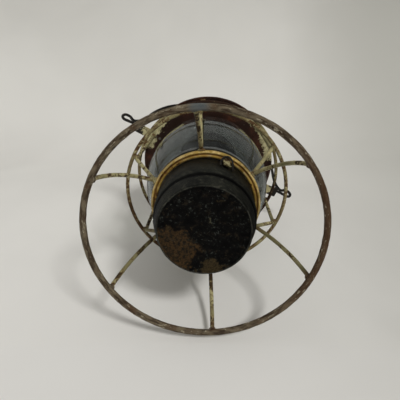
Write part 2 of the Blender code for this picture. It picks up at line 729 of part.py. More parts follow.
def pin_bore(name):
    axis = hinge_axis()
    return cylinders(name, [along_x(axis)], HINGE_PIN_RADIUS + HINGE_PIN_GAP, HINGE_WIDTH * 2, 16)


def frame_leaf(tin):
    """Leaf on the brim with a knuckle at each side of the lid's."""
    axis = hinge_axis()
    low = axis.z - KNUCKLE_RADIUS * 0.9
    near = (axis.y, brim_under_z(axis.y) + SHEET + SEAT)
    far_y = axis.y + LEAF_LENGTH
    far = (far_y, brim_under_z(far_y) + SHEET + SEAT)
    outline = [near, far, (far_y, far[1] + LEAF_SHEET)]
    outline += [(axis.y + 0.001, low + LEAF_SHEET), (axis.y, low + LEAF_SHEET)]
    leaf = extrude("hinge_leaf_frame", outline, HINGE_WIDTH, tin)
    leaf.data.transform(round_z(math.radians(90)))
    side = (HINGE_WIDTH - KNUCKLE_WIDTH) / 2 - SEAT
    for i, start in enumerate((-HINGE_WIDTH / 2, HINGE_WIDTH / 2 - side)):
        combine(leaf, knuckle(f"frame_knuckle_{i}", start, side), "UNION")
    gap = KNUCKLE_WIDTH + 2 * SEAT
    reach = 2 * (KNUCKLE_RADIUS + 3 * SEAT)
    notch = box("knuckle_notch", (gap, reach, reach), axis)
    combine(leaf, notch, "DIFFERENCE")
    combine(leaf, pin_bore("frame_bore"), "DIFFERENCE")
    return leaf


def lid_leaf(tin):
    """Upright leaf on the lid's skirt with the middle knuckle."""
    axis = hinge_axis()
    skirt = LID_SKIRT_RADIUS + SEAT
    high = LID_Z + LID_SKIRT_HEIGHT - 0.0012
    low = axis.z - 0.0006
    outline = [(skirt, low), (axis.y, low), (axis.y, axis.z + 0.0006), (skirt + LEAF_SHEET, axis.z + 0.0010)]
    outline += [(skirt + LEAF_SHEET, high), (skirt, high)]
    leaf = extrude("hinge_leaf_lid", outline, KNUCKLE_WIDTH, tin)
    leaf.data.transform(round_z(math.radians(90)))
    combine(leaf, knuckle("lid_knuckle", -KNUCKLE_WIDTH / 2, KNUCKLE_WIDTH), "UNION")
    combine(leaf, pin_bore("lid_bore"), "DIFFERENCE")
    return leaf


def hinge(tin):
    frame_leaf(tin)
    cylinders("hinge_pin", [along_x(hinge_axis())], HINGE_PIN_RADIUS, HINGE_WIDTH + 0.001, 12, tin)


def bail_ear(name, side, tin):
    """Strap from the brim out past its edge and up, with a round head bored for the bail."""
    foot = brim_under_z(EAR_FOOT_X) + SHEET + SEAT
    rim = brim_under_z(BRIM_RADIUS) + SHEET + BRIM_BEAD / 2 + SEAT
    knee = EAR_X + EAR_SHEET / 2
    step_x = BRIM_RADIUS - BRIM_BEAD * 1.8
    step = (step_x, brim_under_z(step_x) + SHEET + SEAT)
    path = [(EAR_FOOT_X, foot), step, (BRIM_RADIUS - BRIM_BEAD * 0.4, rim)]
    path += [(knee, rim + 0.0020), (knee, PIVOT_Z)]
    bent = rounded(path, [0.0, 0.003, 0.003, 0.004, 0.0])
    ear = extrude(name, sheet_section(bent, EAR_SHEET), EAR_WIDTH, tin)
    center = (EAR_X, 0.0, PIVOT_Z)
    combine(ear, cylinders(f"{name}_head", [along_x(center)], EAR_WIDTH / 2, EAR_SHEET, 20), "UNION")
    bore = BAIL_WIRE / 2 + BAIL_BORE_GAP
    combine(ear, cylinders(f"{name}_bore", [along_x(center)], bore, EAR_SHEET * 4, 16), "DIFFERENCE")
    if side < 0:
        for helper in [ear] + [m.object for m in ear.modifiers]:
            helper.data.transform(round_z(math.pi))
    return ear


def bail(steel):
    """Arch with an outward loop at each foot whose end turns in through the ear."""
    wide, high = BAIL_ARCH
    hook_x = EAR_X + HOOK_REACH
    bend = HOOK_RISE / 2
    knee = (EAR_X + 0.002, HOOK_RISE + 0.0012)
    steps = 18
    start = BAIL_ARCH_START
    turns = [start + (math.pi - 2 * start) * i / steps for i in range(steps + 1)]
    arch = [(wide * math.cos(t), high * math.sin(t)) for t in turns]
    hook = [(EAR_X - HOOK_TIP, 0.0), (hook_x, 0.0), (hook_x, HOOK_RISE), knee, arch[0]]
    bent = rounded(hook, [0.0, bend * 0.98, bend * 0.98, 0.008, 0.0])
    right = bent[:-1]
    left = [(-x, z) for x, z in reversed(right)]
    points = [(x, 0.0, z) for x, z in right + arch + left]
    obj = wire("bail", points, BAIL_WIRE, steel)
    obj.location = (0.0, 0.0, PIVOT_Z)
    obj.rotation_euler = (BAIL_LEAN, 0.0, 0.0)
    return obj


def catch(paint, steel):
    """Tongue hung from the band's outer bead, and the spring wire looped over it."""
    face = FOUNT_RADIUS + 0.0012
    under = BAND_Z - SEAT
    path = [(BAND_RADIUS - 0.0012, under), (face + 0.0016, under - 0.0012), (face, under - 0.0040)]
    path += [(face, TONGUE_BOTTOM_Z + 0.0015), (face + 0.0014, TONGUE_BOTTOM_Z)]
    bent = rounded(path, [0.0, 0.001, 0.002, 0.002, 0.0])
    tongue = extrude("catch_tongue", sheet_section(bent, TONGUE_SHEET), TONGUE_WIDTH, paint)
    tongue.data.transform(round_z(CATCH_ANGLE))
    loop_r = FOUNT_RADIUS + SEAT + CATCH_WIRE / 2
    crest_r = BAND_RADIUS - 0.0002
    crest_z = under - 0.0022 - CATCH_WIRE / 2
    half = math.pi / 2
    points = []
    for k in range(-6, 7):
        turn = k / 6
        drop = 1 - math.cos(turn * half)
        side = CATCH_SPREAD * math.sin(turn * half)
        points.append(Vector((crest_r - (crest_r - loop_r) * drop, side, crest_z - 0.0085 * drop)))
    for end, sign in ((0, -1), (len(points), 1)):
        foot_r = math.sqrt(loop_r**2 - CATCH_SPREAD**2) + 0.0004
        points.insert(end, Vector((foot_r, sign * CATCH_SPREAD, CATCH_BOTTOM_Z)))
    turned = [round_z(CATCH_ANGLE) @ p for p in points]
    wire("catch_spring", turned, CATCH_WIRE, steel)


def main():
    for obj in list(bpy.data.objects):
        bpy.data.objects.remove(obj)
    cream = new_material("cream_paint", (0.52, 0.48, 0.30), 0.65, 0.0)
    yellow = new_material("yellow_paint", (0.55, 0.36, 0.10), 0.55, 0.0)
    maroon = new_material("rusted_top", (0.055, 0.028, 0.018), 0.75, 0.2)
    black = new_material("black_tin", (0.018, 0.018, 0.016), 0.70, 0.2)
    rusty = new_material("worn_wire", (0.20, 0.16, 0.12), 0.70, 0.3)
    dark = new_material("dark_wire", (0.02, 0.018, 0.016), 0.55, 0.5)
    tin = new_material("dull_tin", (0.16, 0.15, 0.13), 0.55, 0.6)
    brass = new_material("tarnished_brass", (0.30, 0.20, 0.08), 0.45, 0.9)
    cotton = new_material("wick_cotton", (0.45, 0.40, 0.32), 0.95, 0.0)
    glass = new_material("clear_glass", (0.90, 0.93, 0.93), 0.05, 0.0, 1.0)
    base_and_guard(cream, rusty)
    band_and_gallery(yellow, tin)
    fount_body(black, brass, cotton)
    globe(glass)
    brim(maroon)
    lid_body(maroon, tin)
    hinge(tin)
    bail_ear("bail_ear_right", 1, tin)
    bail_ear("bail_ear_left", -1, tin)
    bail(dark)
    catch(yellow, dark)


main()
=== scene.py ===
import math

import bmesh
import bpy
from mathutils import Matrix, Vector, noise
from mathutils.geometry import interpolate_bezier


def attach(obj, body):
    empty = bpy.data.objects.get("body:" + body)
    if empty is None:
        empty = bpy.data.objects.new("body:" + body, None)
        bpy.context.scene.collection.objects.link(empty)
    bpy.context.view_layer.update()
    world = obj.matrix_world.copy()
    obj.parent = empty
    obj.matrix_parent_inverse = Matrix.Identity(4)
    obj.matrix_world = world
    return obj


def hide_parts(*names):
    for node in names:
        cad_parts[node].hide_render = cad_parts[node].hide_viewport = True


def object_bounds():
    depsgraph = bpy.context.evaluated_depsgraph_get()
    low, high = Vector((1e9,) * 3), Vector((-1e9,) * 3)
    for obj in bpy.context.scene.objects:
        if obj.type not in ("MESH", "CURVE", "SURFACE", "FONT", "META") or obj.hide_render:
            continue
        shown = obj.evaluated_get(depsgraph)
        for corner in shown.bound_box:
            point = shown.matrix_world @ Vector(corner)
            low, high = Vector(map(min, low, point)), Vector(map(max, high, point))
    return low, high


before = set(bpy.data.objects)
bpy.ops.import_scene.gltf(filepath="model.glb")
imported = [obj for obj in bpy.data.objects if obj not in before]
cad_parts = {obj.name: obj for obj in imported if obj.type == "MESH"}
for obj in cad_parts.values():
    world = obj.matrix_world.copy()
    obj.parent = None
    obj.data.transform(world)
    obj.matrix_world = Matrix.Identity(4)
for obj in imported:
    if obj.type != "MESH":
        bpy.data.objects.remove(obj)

cad_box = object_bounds()

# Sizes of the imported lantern, in metres
SHEET = 0.0007
RING_RADIUS = 0.0825
RING_WIRE = 0.0047
GLOBE_HEIGHT = 0.1365
GLOBE_BASE_RADIUS = 0.0398
GLOBE_RADIUS = 0.0562
GLOBE_NECK_RADIUS = 0.0372
GLOBE_WALL = 0.0016
GLOBE_FITTER = 0.0060
GLOBE_RIM = 0.0072
BAND_LIP_RADIUS = 0.0386
BAND_RADIUS = 0.0437
BAND_WALL_RADIUS = 0.0426
BAND_Z = 0.0530
BAND_HEIGHT = 0.0090
BEAD_HEIGHT = 0.0045
GLOBE_Z = 0.05621
GLOBE_TOP_Z = 0.19271
HOOP_RADIUS = 0.0700
BRIM_RADIUS = 0.0712
BRIM_EDGE_Z = 0.1915
BRIM_SLOPE = 0.15
BRIM_BEAD = 0.0028
TOP_COLLAR_RADIUS = 0.0460
TOP_COLLAR_ABOVE = 0.0062
TOP_COLLAR_BELOW = 0.0050
WIRE = 0.0032
LOWER_HOOP_Z = 0.0914
UPPER_HOOP_Z = 0.1510
SHOULDER_Z = 0.0870
WAIST_BEND = 0.0030
SHOULDER_BEND = 0.0100
FOUNT_Z = 0.0025
FOUNT_RADIUS = 0.0380
FOUNT_FOOT_RADIUS = 0.0310
FOUNT_SEAM_RADIUS = 0.0360
FOUNT_SEAM_Z = 0.0150
FOUNT_TOP_Z = 0.05451
COLLAR_BORE = 0.0125
LID_Z = 0.19628
LID_SKIRT_RADIUS = 0.0477
LID_SKIRT_HEIGHT = 0.0072
DRUM_RADIUS = 0.0400
DRUM_HEIGHT = 0.0150
DRUM_TOP_Z = 0.21848
VENT_COUNT = 12
VENT_DIAMETER = 0.0060
DOME_RADIUS = 0.0450
DOME_DROP = 0.0040
DOME_HEIGHT = 0.0230
CROWN_RADIUS = 0.0120
CROWN_HEIGHT = 0.0080
RETAINER_BORE = 0.0330
EAR_X = 0.0880
EAR_WIDTH = 0.0100
EAR_SHEET = 0.0012
EAR_FOOT_X = 0.0570
PIVOT_Z = 0.2068
BAIL_ARCH = (0.0850, 0.0880)
BAIL_ARCH_START = math.radians(14)
BAIL_LEAN = math.radians(30)
HOOK_REACH = 0.0200
HOOK_RISE = 0.0074
HOOK_TIP = 0.0060
BAIL_BORE_GAP = 0.0004
CATCH_ANGLE = math.radians(-92)
CATCH_WIRE = 0.0016
CATCH_SPREAD = 0.0048
CATCH_BOTTOM_Z = 0.0340

# The clearance that the CAD leaves where one part rests on another
SEAT = 0.0003

# Small forms of the ears, the hinge, the lift tab and their rivets, in metres
EAR_FOOT = 0.0050
EAR_RIVETS = (0.0022, 0.0068)
HINGE_SHEET = 0.0008
HINGE_LEAF_SHARE = 0.6145
HINGE_RIVET_X = 0.0052
TAB_SHEET = 0.0008
TAB_WIDTH = 0.0140
TAB_RIVET_X = 0.0045
RIVET_SINK = 0.00005
RIVET_SIDES = 18

# Marks that the photograph shows on the underside: places as (x, y), edges as (x, y, offset)
BLUE_MARK = (-0.0385, -0.0728)
SMALL_RUST = (0.0166, 0.0225)
RUST_WEDGE = ((0.474, 0.880, -0.0021), (-0.440, 0.898, 0.0093), (-0.9965, 0.083, -0.0015))
PALE_MARK = ((1.0, -0.47, 0.0033), (-1.0, 0.47, -0.0058), (0.44, 0.90, -0.0100), (-0.44, -0.90, 0.0052))

# The lying cloth along and across the lantern, and the cove in which it rises at the far end
CLOTH_START = -0.42
CLOTH_LENGTH = 1.95
CLOTH_WIDTH = 2.2
CLOTH_TURN = 0.42
CLOTH_COVE = 0.34
CLOTH_FOLD = 0.010
CLOTH_ROWS = 150
CLOTH_COLUMNS = 120

# The room's brightness as (from, to, value at the first, value at the second)
ROOM_RISE = (-0.6, 0.3, 0.43, 0.58)
ROOM_SIDE = (-0.7, 0.6, 0.75, 0.15)
ROOM_CEILING = (0.30, 0.80, 1.0, 0.50)

# Faces round the turned pieces and the wires
ROUND = 144
SIDES = 14
SMOOTH_ANGLE = math.radians(35)

# The photograph's camera, and the plane that the lantern lies on in it
CAMERA = Vector((-0.04336374, -0.10275241, -0.24540878))
CAMERA_RIGHT = Vector((0.90208915, -0.43037577, 0.03180991))
CAMERA_UP = Vector((-0.41494415, -0.84476745, 0.33791909))
CAMERA_LOOK = Vector((0.11856021, 0.31803248, 0.94063745))
LYING_ANGLE = math.radians(63.8)
FLOOR_SHEETS = 4
KEY_DIRECTION = Vector((0.062, -0.766, -0.640))


def srgb(red, green, blue):
    """A colour given as 0 to 255 turned into the linear values that Blender uses."""
    result = []
    for value in (red, green, blue):
        part = value / 255
        result.append(part / 12.92 if part <= 0.04045 else ((part + 0.055) / 1.055) ** 2.4)
    return (*result, 1.0)


class Value:
    """A number that nodes work out, so that signs can join such numbers. The sign | takes the larger."""

    def __init__(self, owner, socket):
        self.owner = owner
        self.socket = socket

    def __add__(self, other):
        return self.owner.math("ADD", self, other)

    def __sub__(self, other):
        return self.owner.math("SUBTRACT", self, other)

    def __rsub__(self, other):
        return self.owner.math("SUBTRACT", other, self)

    def __mul__(self, other):
        return self.owner.math("MULTIPLY", self, other)

    def __or__(self, other):
        return self.owner.math("MAXIMUM", self, other)


class Nodes:
    """The node tree of a material or a world, put together a few nodes at a time."""

    def __init__(self, owner):
        owner.use_nodes = True
        self.nodes = owner.node_tree.nodes
        self.links = owner.node_tree.links

    def add(self, kind, inputs=None, **settings):
        node = self.nodes.new(kind)
        for key, value in settings.items():
            setattr(node, key, value)
        for key, value in (inputs or {}).items():
            self.set(node, key, value)
        return node

    def set(self, node, key, value):
        if isinstance(value, Value):
            value = value.socket
        if isinstance(value, bpy.types.NodeSocket):
            self.links.new(value, node.inputs[key])
        else:
            node.inputs[key].default_value = value

    def math(self, operation, first, second=0.5, clamp=False):
        node = self.add("ShaderNodeMath", {0: first, 1: second}, operation=operation, use_clamp=clamp)
        return Value(self, node.outputs[0])

    def dot(self, first, second):
        node = self.add("ShaderNodeVectorMath", {0: first, 1: second}, operation="DOT_PRODUCT")
        return Value(self, node.outputs["Value"])

    def ramp(self, value, low, high, first, last):
        """A smooth change from first at low to last at high."""
        inputs = {0: value, 1: low, 2: high, 3: first, 4: last}
        node = self.add("ShaderNodeMapRange", inputs, interpolation_type="SMOOTHSTEP")
        return Value(self, node.outputs[0])

    def blend(self, factor, first, second):
        node = self.add("ShaderNodeMix", {0: factor, 2: first, 3: second}, data_type="FLOAT")
        return Value(self, node.outputs[0])

    def ray(self, kind):
        """What the light path tells of a ray."""
        return Value(self, self.add("ShaderNodeLightPath").outputs[kind])

    def surface(self, output, factor, first, second):
        """Shows the first shader where the factor is 0 and the second where it is 1."""
        both = self.add("ShaderNodeMixShader", {0: factor, 1: first.outputs[0], 2: second.outputs[0]})
        self.links.new(both.outputs[0], self.nodes[output].inputs["Surface"])


class Look(Nodes):
    """A material in the piece's own coordinates."""

    def __init__(self, name):
        self.material = bpy.data.materials.new(name)
        super().__init__(self.material)
        self.shader = self.nodes["Principled BSDF"]
        self.place = self.add("ShaderNodeTexCoord").outputs["Object"]
        axes = self.add("ShaderNodeSeparateXYZ", {0: self.place}).outputs
        self.x, self.y, self.z = [Value(self, axis) for axis in axes]

    def radius(self):
        return self.math("SQRT", self.x * self.x + self.y * self.y)

    def around(self, along, across):
        """Coordinates for streaks that run round the Z axis, scaled along and across them."""
        turn = self.math("ARCTAN2", self.y, self.x) * along
        inputs = {0: turn, 1: self.radius() * across, 2: self.z * across}
        return self.add("ShaderNodeCombineXYZ", inputs).outputs[0]

    def toward(self, x, y):
        """How far the place lies toward a direction from the Z axis, from -1 to 1."""
        return self.math("DIVIDE", self.x * x + self.y * y, self.radius())

    def facing(self):
        return self.add("ShaderNodeTexCoord").outputs["Normal"]

    def facing_down(self):
        axes = self.add("ShaderNodeSeparateXYZ", {0: self.facing()}).outputs
        return self.step(axes[2], -0.15, -0.45)

    def inside(self, middle):
        """1 on surfaces that face the point at the height given on the Z axis."""
        inputs = {0: self.place, 1: (0.0, 0.0, middle)}
        away = self.add("ShaderNodeVectorMath", inputs, operation="SUBTRACT").outputs[0]
        return self.step(self.dot(self.facing(), away), 0.001, -0.001)

    def stretched(self, scale):
        return self.add("ShaderNodeMapping", {"Vector": self.place, "Scale": scale}).outputs[0]

    def noise(self, scale, detail=4.0, rough=0.55, distortion=0.0, place=None, seed=0.0):
        inputs = {"Vector": place or self.place, "Scale": scale, "Detail": detail, "Roughness": rough}
        inputs |= {"Distortion": distortion, "W": seed}
        node = self.add("ShaderNodeTexNoise", inputs, noise_dimensions="4D")
        return Value(self, node.outputs["Fac"])

    def step(self, value, low, high):
        """0 below low, 1 above high, and a smooth rise between them; high below low turns it round."""
        if low > high:
            return self.ramp(value, high, low, 1.0, 0.0)
        return self.ramp(value, low, high, 0.0, 1.0)

    def near(self, value, middle, reach):
        """1 at the middle, falling to 0 at reach on both sides of it."""
        return self.step(self.math("ABSOLUTE", value - middle), reach, 0.0)

    def spot(self, x, y, reach):
        """1 at a place seen along the Z axis, falling to 0 at reach from it."""
        inside = self.x - x
        beside = self.y - y
        away = self.math("SQRT", inside * inside + beside * beside)
        return self.step(away, reach, reach * 0.35)

    def within(self, *edges):
        """The least distance, in metres, from (x, y, offset) lines to the side that they face."""
        least = None
        for x, y, offset in edges:
            away = self.x * x + self.y * y - offset
            least = self.math("MINIMUM", least, away) if least else away
        return least

    def mix(self, factor, first, second):
        inputs = {0: factor, 6: first, 7: second}
        return self.add("ShaderNodeMix", inputs, data_type="RGBA").outputs[2]

    def bump(self, height, strength, distance, below=None):
        inputs = {"Height": height, "Strength": strength, "Distance": distance}
        if below is not None:
            inputs["Normal"] = below
        return self.add("ShaderNodeBump", inputs).outputs[0]

    def finish(self, color, roughness, metallic, normal, **shader):
        inputs = {"Base Color": color, "Roughness": roughness, "Metallic": metallic, "Normal": normal}
        inputs |= {key.replace("_", " "): value for key, value in shader.items()}
        for key, value in inputs.items():
            self.set(self.shader, key, value)
        return self.material


def ring_look():
    look = Look("worn_ring_wire")
    broad = look.noise(60, 4, 0.6, 0.4)
    patch = look.noise(1.0, 5, 0.62, 0.5, look.around(9.0, 420.0), 3.0)
    fine = look.noise(1500, 4, 0.7, seed=5.0)
    bare = look.mix(look.step(patch, 0.36, 0.62), srgb(58, 46, 34), srgb(112, 100, 80))
    darkened = look.step(look.toward(0.90, -0.43), 0.55, 0.95) | look.step(broad, 0.52, 0.66)
    bare = look.mix(darkened * 0.75, bare, srgb(76, 52, 33))
    streak = look.noise(1.0, 6, 0.7, 0.8, look.around(16.0, 520.0), 8.0)
    pale = look.step(streak, 0.56, 0.64)
    color = look.mix(pale * 0.85, bare, srgb(172, 162, 138))
    color = look.mix(look.spot(*BLUE_MARK, 0.0085) * 0.75, color, srgb(88, 96, 98))
    color = look.mix(look.step(fine, 0.60, 0.72), color, srgb(42, 31, 23))
    rough = look.blend(look.step(patch, 0.35, 0.65), 0.80, 0.60)
    normal = look.bump(patch + pale, 0.5, 0.0005, look.bump(fine, 0.35, 0.0004))
    return look.finish(color, rough, 0.10, normal, Specular_IOR_Level=0.3)


def painted_look(name, paint, shade, chip, rust, chipped, seed, darkened=None):
    """Old paint over steel: uneven colour, dark specks, chips down to dark metal and rust round them."""
    look = Look(name)
    broad = look.noise(45, 3, 0.5, 0.2, seed=seed)
    look.patch = look.noise(260, 6, 0.7, 0.5, seed=seed + 1)
    look.fine = look.noise(1800, 4, 0.7, seed=seed + 2)
    color = look.mix(look.step(broad, 0.36, 0.66), shade, paint)
    color = look.mix(look.step(look.fine, 0.62, 0.78), color, shade)
    mottle = broad * 0.45 + look.patch * 0.55
    # More chips, so darker paint, toward the given direction.
    if darkened:
        mottle = mottle + look.step(look.toward(*darkened), 0.80, 0.97) * 0.05
    gone = look.step(mottle, chipped, chipped + 0.025)
    edge = look.step(mottle, chipped - 0.035, chipped + 0.01)
    color = look.mix(edge * 0.75, color, rust)
    metal = look.mix(look.step(look.fine, 0.45, 0.65), chip, rust)
    look.color = look.mix(gone, color, metal)
    look.rough = look.blend(gone, 0.58, 0.74)
    look.normal = look.bump(1.0 - gone, 0.55, 0.00025, look.bump(look.fine, 0.18, 0.0003))
    return look


def cage_look():
    # More chips, so darker paint, on the guard wires toward azimuth 120 degrees.
    look = painted_look("cream_cage_paint", srgb(186, 178, 132), srgb(120, 113, 78), srgb(42, 36, 27),
                        srgb(98, 70, 38), 0.533, 11.0, (-0.5, 0.8660))
    hot = look.near(look.z, LOWER_HOOP_Z, 0.005)
    joints = ((0.0050, 0.010), (BAND_Z + 0.002, 0.007), (UPPER_HOOP_Z, 0.005), (0.1900, 0.009))
    for height, reach in joints:
        hot = hot | look.near(look.z, height, reach)
    rusty = hot * look.step(look.patch, 0.36, 0.58)
    color = look.mix(rusty * 0.85, look.color, srgb(88, 62, 36))
    # Bare steel and painted shade together: dark brown round the upper hoop on two sides.
    worn_and_shaded_sides = look.toward(-0.4415, -0.8973) | look.toward(0.9962, 0.0872)
    bare_and_shaded = look.near(look.z, UPPER_HOOP_Z, 0.012) * worn_and_shaded_sides + look.patch * 0.4
    color = look.mix(look.step(bare_and_shaded, 0.98, 1.12), color, srgb(46, 30, 20))
    return look.finish(color, look.rough, 0.0, look.normal, Specular_IOR_Level=0.3)


def band_look():
    look = painted_look("yellow_band_paint", srgb(168, 138, 64), srgb(112, 90, 36), srgb(50, 38, 24),
                        srgb(108, 64, 26), 0.575, 23.0)
    radius = look.radius()
    faded = look.step(look.noise(70, 4, 0.65, 0.6, seed=27.0), 0.52, 0.66)
    color = look.mix(faded * 0.6, look.color, srgb(198, 178, 124))
    redder = look.step(look.noise(55, 4, 0.65, 0.6, seed=29.0), 0.56, 0.68)
    color = look.mix(redder * 0.55, color, srgb(132, 76, 34))
    groove = look.near(radius, (BAND_LIP_RADIUS + BAND_RADIUS) / 2, 0.0011)
    groove = groove * look.step(look.z, BAND_Z + 0.0032, BAND_Z + 0.0024)
    color = look.mix(groove * 0.95, color, srgb(84, 48, 20))
    # Painted highlight: pale streak along the top of the outer bead, in patches.
    crest_highlight = look.near(radius, BAND_RADIUS - 0.0008, 0.0010) * look.step(look.patch, 0.40, 0.60)
    color = look.mix(crest_highlight * 0.75, color, srgb(226, 202, 142))
    # Painted shade in the gap between the band's upper wall and the globe, above the bead.
    over = look.step(look.z, BAND_Z + BEAD_HEIGHT, BAND_Z + BEAD_HEIGHT + 0.0006)
    color = look.mix(over * 0.85, color, srgb(64, 50, 30))
    # Painted shade in the narrow gap between the band's inner lip and the fount.
    lip = look.step(radius, BAND_LIP_RADIUS + 0.0008, BAND_LIP_RADIUS + 0.0001)
    color = look.mix(lip * 0.9, color, srgb(38, 28, 18))
    return look.finish(color, look.rough, 0.0, look.normal, Specular_IOR_Level=0.3)


def fount_side(look, broad, patch):
    """Black paint and grazed grey, darkest where shade is painted: in the seam, up under the band and on one
    side.
    """
    side = look.mix(look.step(broad, 0.35, 0.70), srgb(20, 21, 18), srgb(38, 39, 33))
    side = look.mix(look.step(patch, 0.50, 0.66) * 0.75, side, srgb(64, 63, 53))
    grazed = look.noise(1.0, 5, 0.7, 0.5, look.around(5.0, 500.0), 15.0)
    side = look.mix(look.step(grazed, 0.58, 0.68) * 0.6, side, srgb(76, 74, 62))
    # Painted shade: the side toward the camera's right is darkened almost to black.
    shaded_flank = look.step(look.toward(0.9021, -0.4304), 0.30, 0.90)
    side = look.mix(shaded_flank * 0.75, side, srgb(9, 9, 7))
    # Painted shade: dark in the seam groove and on the wall up under the band's overhang.
    seam = look.step(look.near(look.z, FOUNT_SEAM_Z + 0.0012, 0.0040), 0.15, 0.65)
    high = look.step(look.z, FOUNT_TOP_Z - 0.0240, FOUNT_TOP_Z - 0.0080)
    return look.mix((seam | high * 0.7) * 0.9, side, srgb(3, 3, 3))


def fount_bottom(look, broad, patch, fine):
    """Black with pale specks and brown stains, two rust patches at the edge, a pale mark and scratches."""
    grit = look.noise(520, 4, 0.7, 0.4, seed=7.0)
    bottom = look.mix(look.step(patch, 0.40, 0.66), srgb(2, 2, 2), srgb(12, 12, 11))
    specks = look.step(grit, 0.57, 0.68) * look.step(broad, 0.32, 0.54)
    bottom = look.mix(specks * 0.8, bottom, srgb(70, 74, 68))
    stain = look.noise(240, 5, 0.7, 0.5, seed=17.0)
    bottom = look.mix(look.step(stain, 0.54, 0.68) * 0.6, bottom, srgb(44, 36, 24))
    edge = look.noise(110, 5, 0.65, 1.2, seed=9.0)
    ragged = (patch - 0.5) * 0.010 + (edge - 0.5) * 0.022
    rust = look.step(look.within(*RUST_WEDGE) + ragged, -0.0010, 0.0026)
    brown = look.mix(look.step(fine, 0.40, 0.65), srgb(42, 32, 18), srgb(84, 60, 30))
    brown = look.mix(look.step(grit, 0.43, 0.60), brown, srgb(20, 18, 12))
    bottom = look.mix(rust * 0.9, bottom, brown)
    small = look.step(look.spot(*SMALL_RUST, 0.0100) + ragged * 190.0, 0.42, 0.85)
    ochre = look.mix(look.step(fine, 0.4, 0.6), srgb(26, 22, 13), srgb(66, 54, 31))
    bottom = look.mix(small, bottom, ochre)
    mark = look.step(look.within(*PALE_MARK) + ragged * 0.3, 0.0, 0.0006)
    bottom = look.mix(mark * 0.7, bottom, srgb(76, 72, 54))
    scratch = look.noise(60, 2, 0.5, 2.5, look.stretched((0.35, 5.0, 1.0)), 12.0)
    scratch = look.near(scratch, 0.5, 0.006) * look.step(broad, 0.50, 0.60)
    return look.mix(scratch * 0.5, bottom, srgb(92, 88, 74))


def fount_look():
    look = Look("black_fount_tin")
    broad = look.noise(60, 4, 0.6, 0.3)
    patch = look.noise(330, 6, 0.7, 0.6, seed=2.0)
    fine = look.noise(1500, 5, 0.75, seed=4.0)
    radius = look.radius()
    under = look.step(look.z, FOUNT_Z + 0.0012, FOUNT_Z + 0.0004)
    under = under * look.step(radius, FOUNT_FOOT_RADIUS + 0.0014, FOUNT_FOOT_RADIUS + 0.0008)
    color = look.mix(under, fount_side(look, broad, patch), fount_bottom(look, broad, patch, fine))
    rim = look.near(radius, FOUNT_FOOT_RADIUS + 0.0013, 0.0007)
    rim = rim * look.step(look.z, FOUNT_Z + 0.0010, FOUNT_Z + 0.0004) * look.step(patch, 0.38, 0.60)
    color = look.mix(rim * 0.8, color, srgb(66, 66, 58))
    rough = look.blend(under, 0.46, 0.70) + patch * 0.16
    normal = look.bump(patch, 0.55, 0.0010, look.bump(fine, 0.3, 0.0004))
    return look.finish(color, rough, 0.0, normal, Specular_IOR_Level=0.20)


def top_look(name, sooty):
    """Rusted dark maroon paint of the top, flaking cream under the brim; dust and soot inside if sooty."""
    look = painted_look(name, srgb(58, 34, 25), srgb(38, 23, 17), srgb(30, 24, 20), srgb(92, 54, 32),
                        0.575, 37.0)
    flake = look.noise(300, 6, 0.72, 0.4, seed=41.0)
    area = look.noise(36, 2, 0.5, seed=44.0)
    sides = look.step(look.toward(-0.9781, -0.2079) | look.toward(0.6157, -0.7880), 0.88, 0.95)
    outer = look.step(look.radius(), 0.0585, 0.0665)
    plain = look.step(look.toward(-0.3907, -0.9205), 0.80, 0.95)
    amount = flake + area * 0.19 + outer * sides * 0.31 - plain * 0.07
    near_brim = look.step(look.z, BRIM_EDGE_Z + 0.0060, BRIM_EDGE_Z + 0.0040)
    cream = look.step(amount, 0.735, 0.765) * look.facing_down() * near_brim
    old_cream = look.mix(look.step(look.patch, 0.4, 0.6), srgb(150, 142, 104), srgb(196, 188, 146))
    color = look.mix(cream, look.color, old_cream)
    if sooty:
        dark = look.near(look.z, 0.2100, 0.010) * look.step(look.patch, 0.35, 0.55)
        color = look.mix(dark * 0.7, color, srgb(17, 15, 13))
        dusty = look.mix(look.step(look.patch, 0.35, 0.62), srgb(44, 45, 40), srgb(74, 76, 68))
        color = look.mix(look.inside(0.2120), color, dusty)
    normal = look.bump(cream, 0.5, 0.0003, look.normal)
    return look.finish(color, look.rough, 0.0, normal, Specular_IOR_Level=0.3)


def dark_look():
    look = Look("black_bail_wire")
    patch = look.noise(300, 5, 0.65, 0.4)
    fine = look.noise(1900, 4, 0.7, seed=6.0)
    color = look.mix(look.step(patch, 0.40, 0.65), srgb(24, 22, 20), srgb(46, 42, 37))
    color = look.mix(look.step(fine, 0.62, 0.74), color, srgb(74, 56, 40))
    rough = look.blend(look.step(patch, 0.4, 0.7), 0.46, 0.66)
    return look.finish(color, rough, 0.0, look.bump(fine, 0.3, 0.0003), Specular_IOR_Level=0.4)


def tin_look(name, light, dark, rust, sooty=False):
    look = Look(name)
    patch = look.noise(180, 5, 0.6, 0.4)
    fine = look.noise(1600, 4, 0.7, seed=6.0)
    color = look.mix(look.step(patch, 0.35, 0.65), dark, light)
    spots = look.step(fine, 0.58, 0.70) * look.step(patch, 0.56, 0.46)
    color = look.mix(spots, color, rust)
    if sooty:
        color = look.mix(look.step(patch, 0.25, 0.45), color, srgb(26, 23, 20))
    rough = look.blend(look.step(patch, 0.35, 0.7), 0.66, 0.42)
    return look.finish(color, rough, 0.3, look.bump(fine, 0.25, 0.0003))


def ear_look():
    """Cream paint where the strap lies on the brim, worn to black steel at its head."""
    look = painted_look("ear_strap_paint", srgb(190, 182, 138), srgb(134, 126, 92), srgb(34, 30, 26),
                        srgb(92, 64, 38), 0.54, 53.0)
    bare = look.radius() + (look.patch - 0.5) * 0.030
    steel = look.mix(look.step(look.fine, 0.45, 0.7), srgb(30, 27, 24), srgb(60, 52, 44))
    color = look.mix(look.step(bare, 0.0775, 0.0800), look.color, steel)
    return look.finish(color, look.rough, 0.0, look.normal, Specular_IOR_Level=0.35)


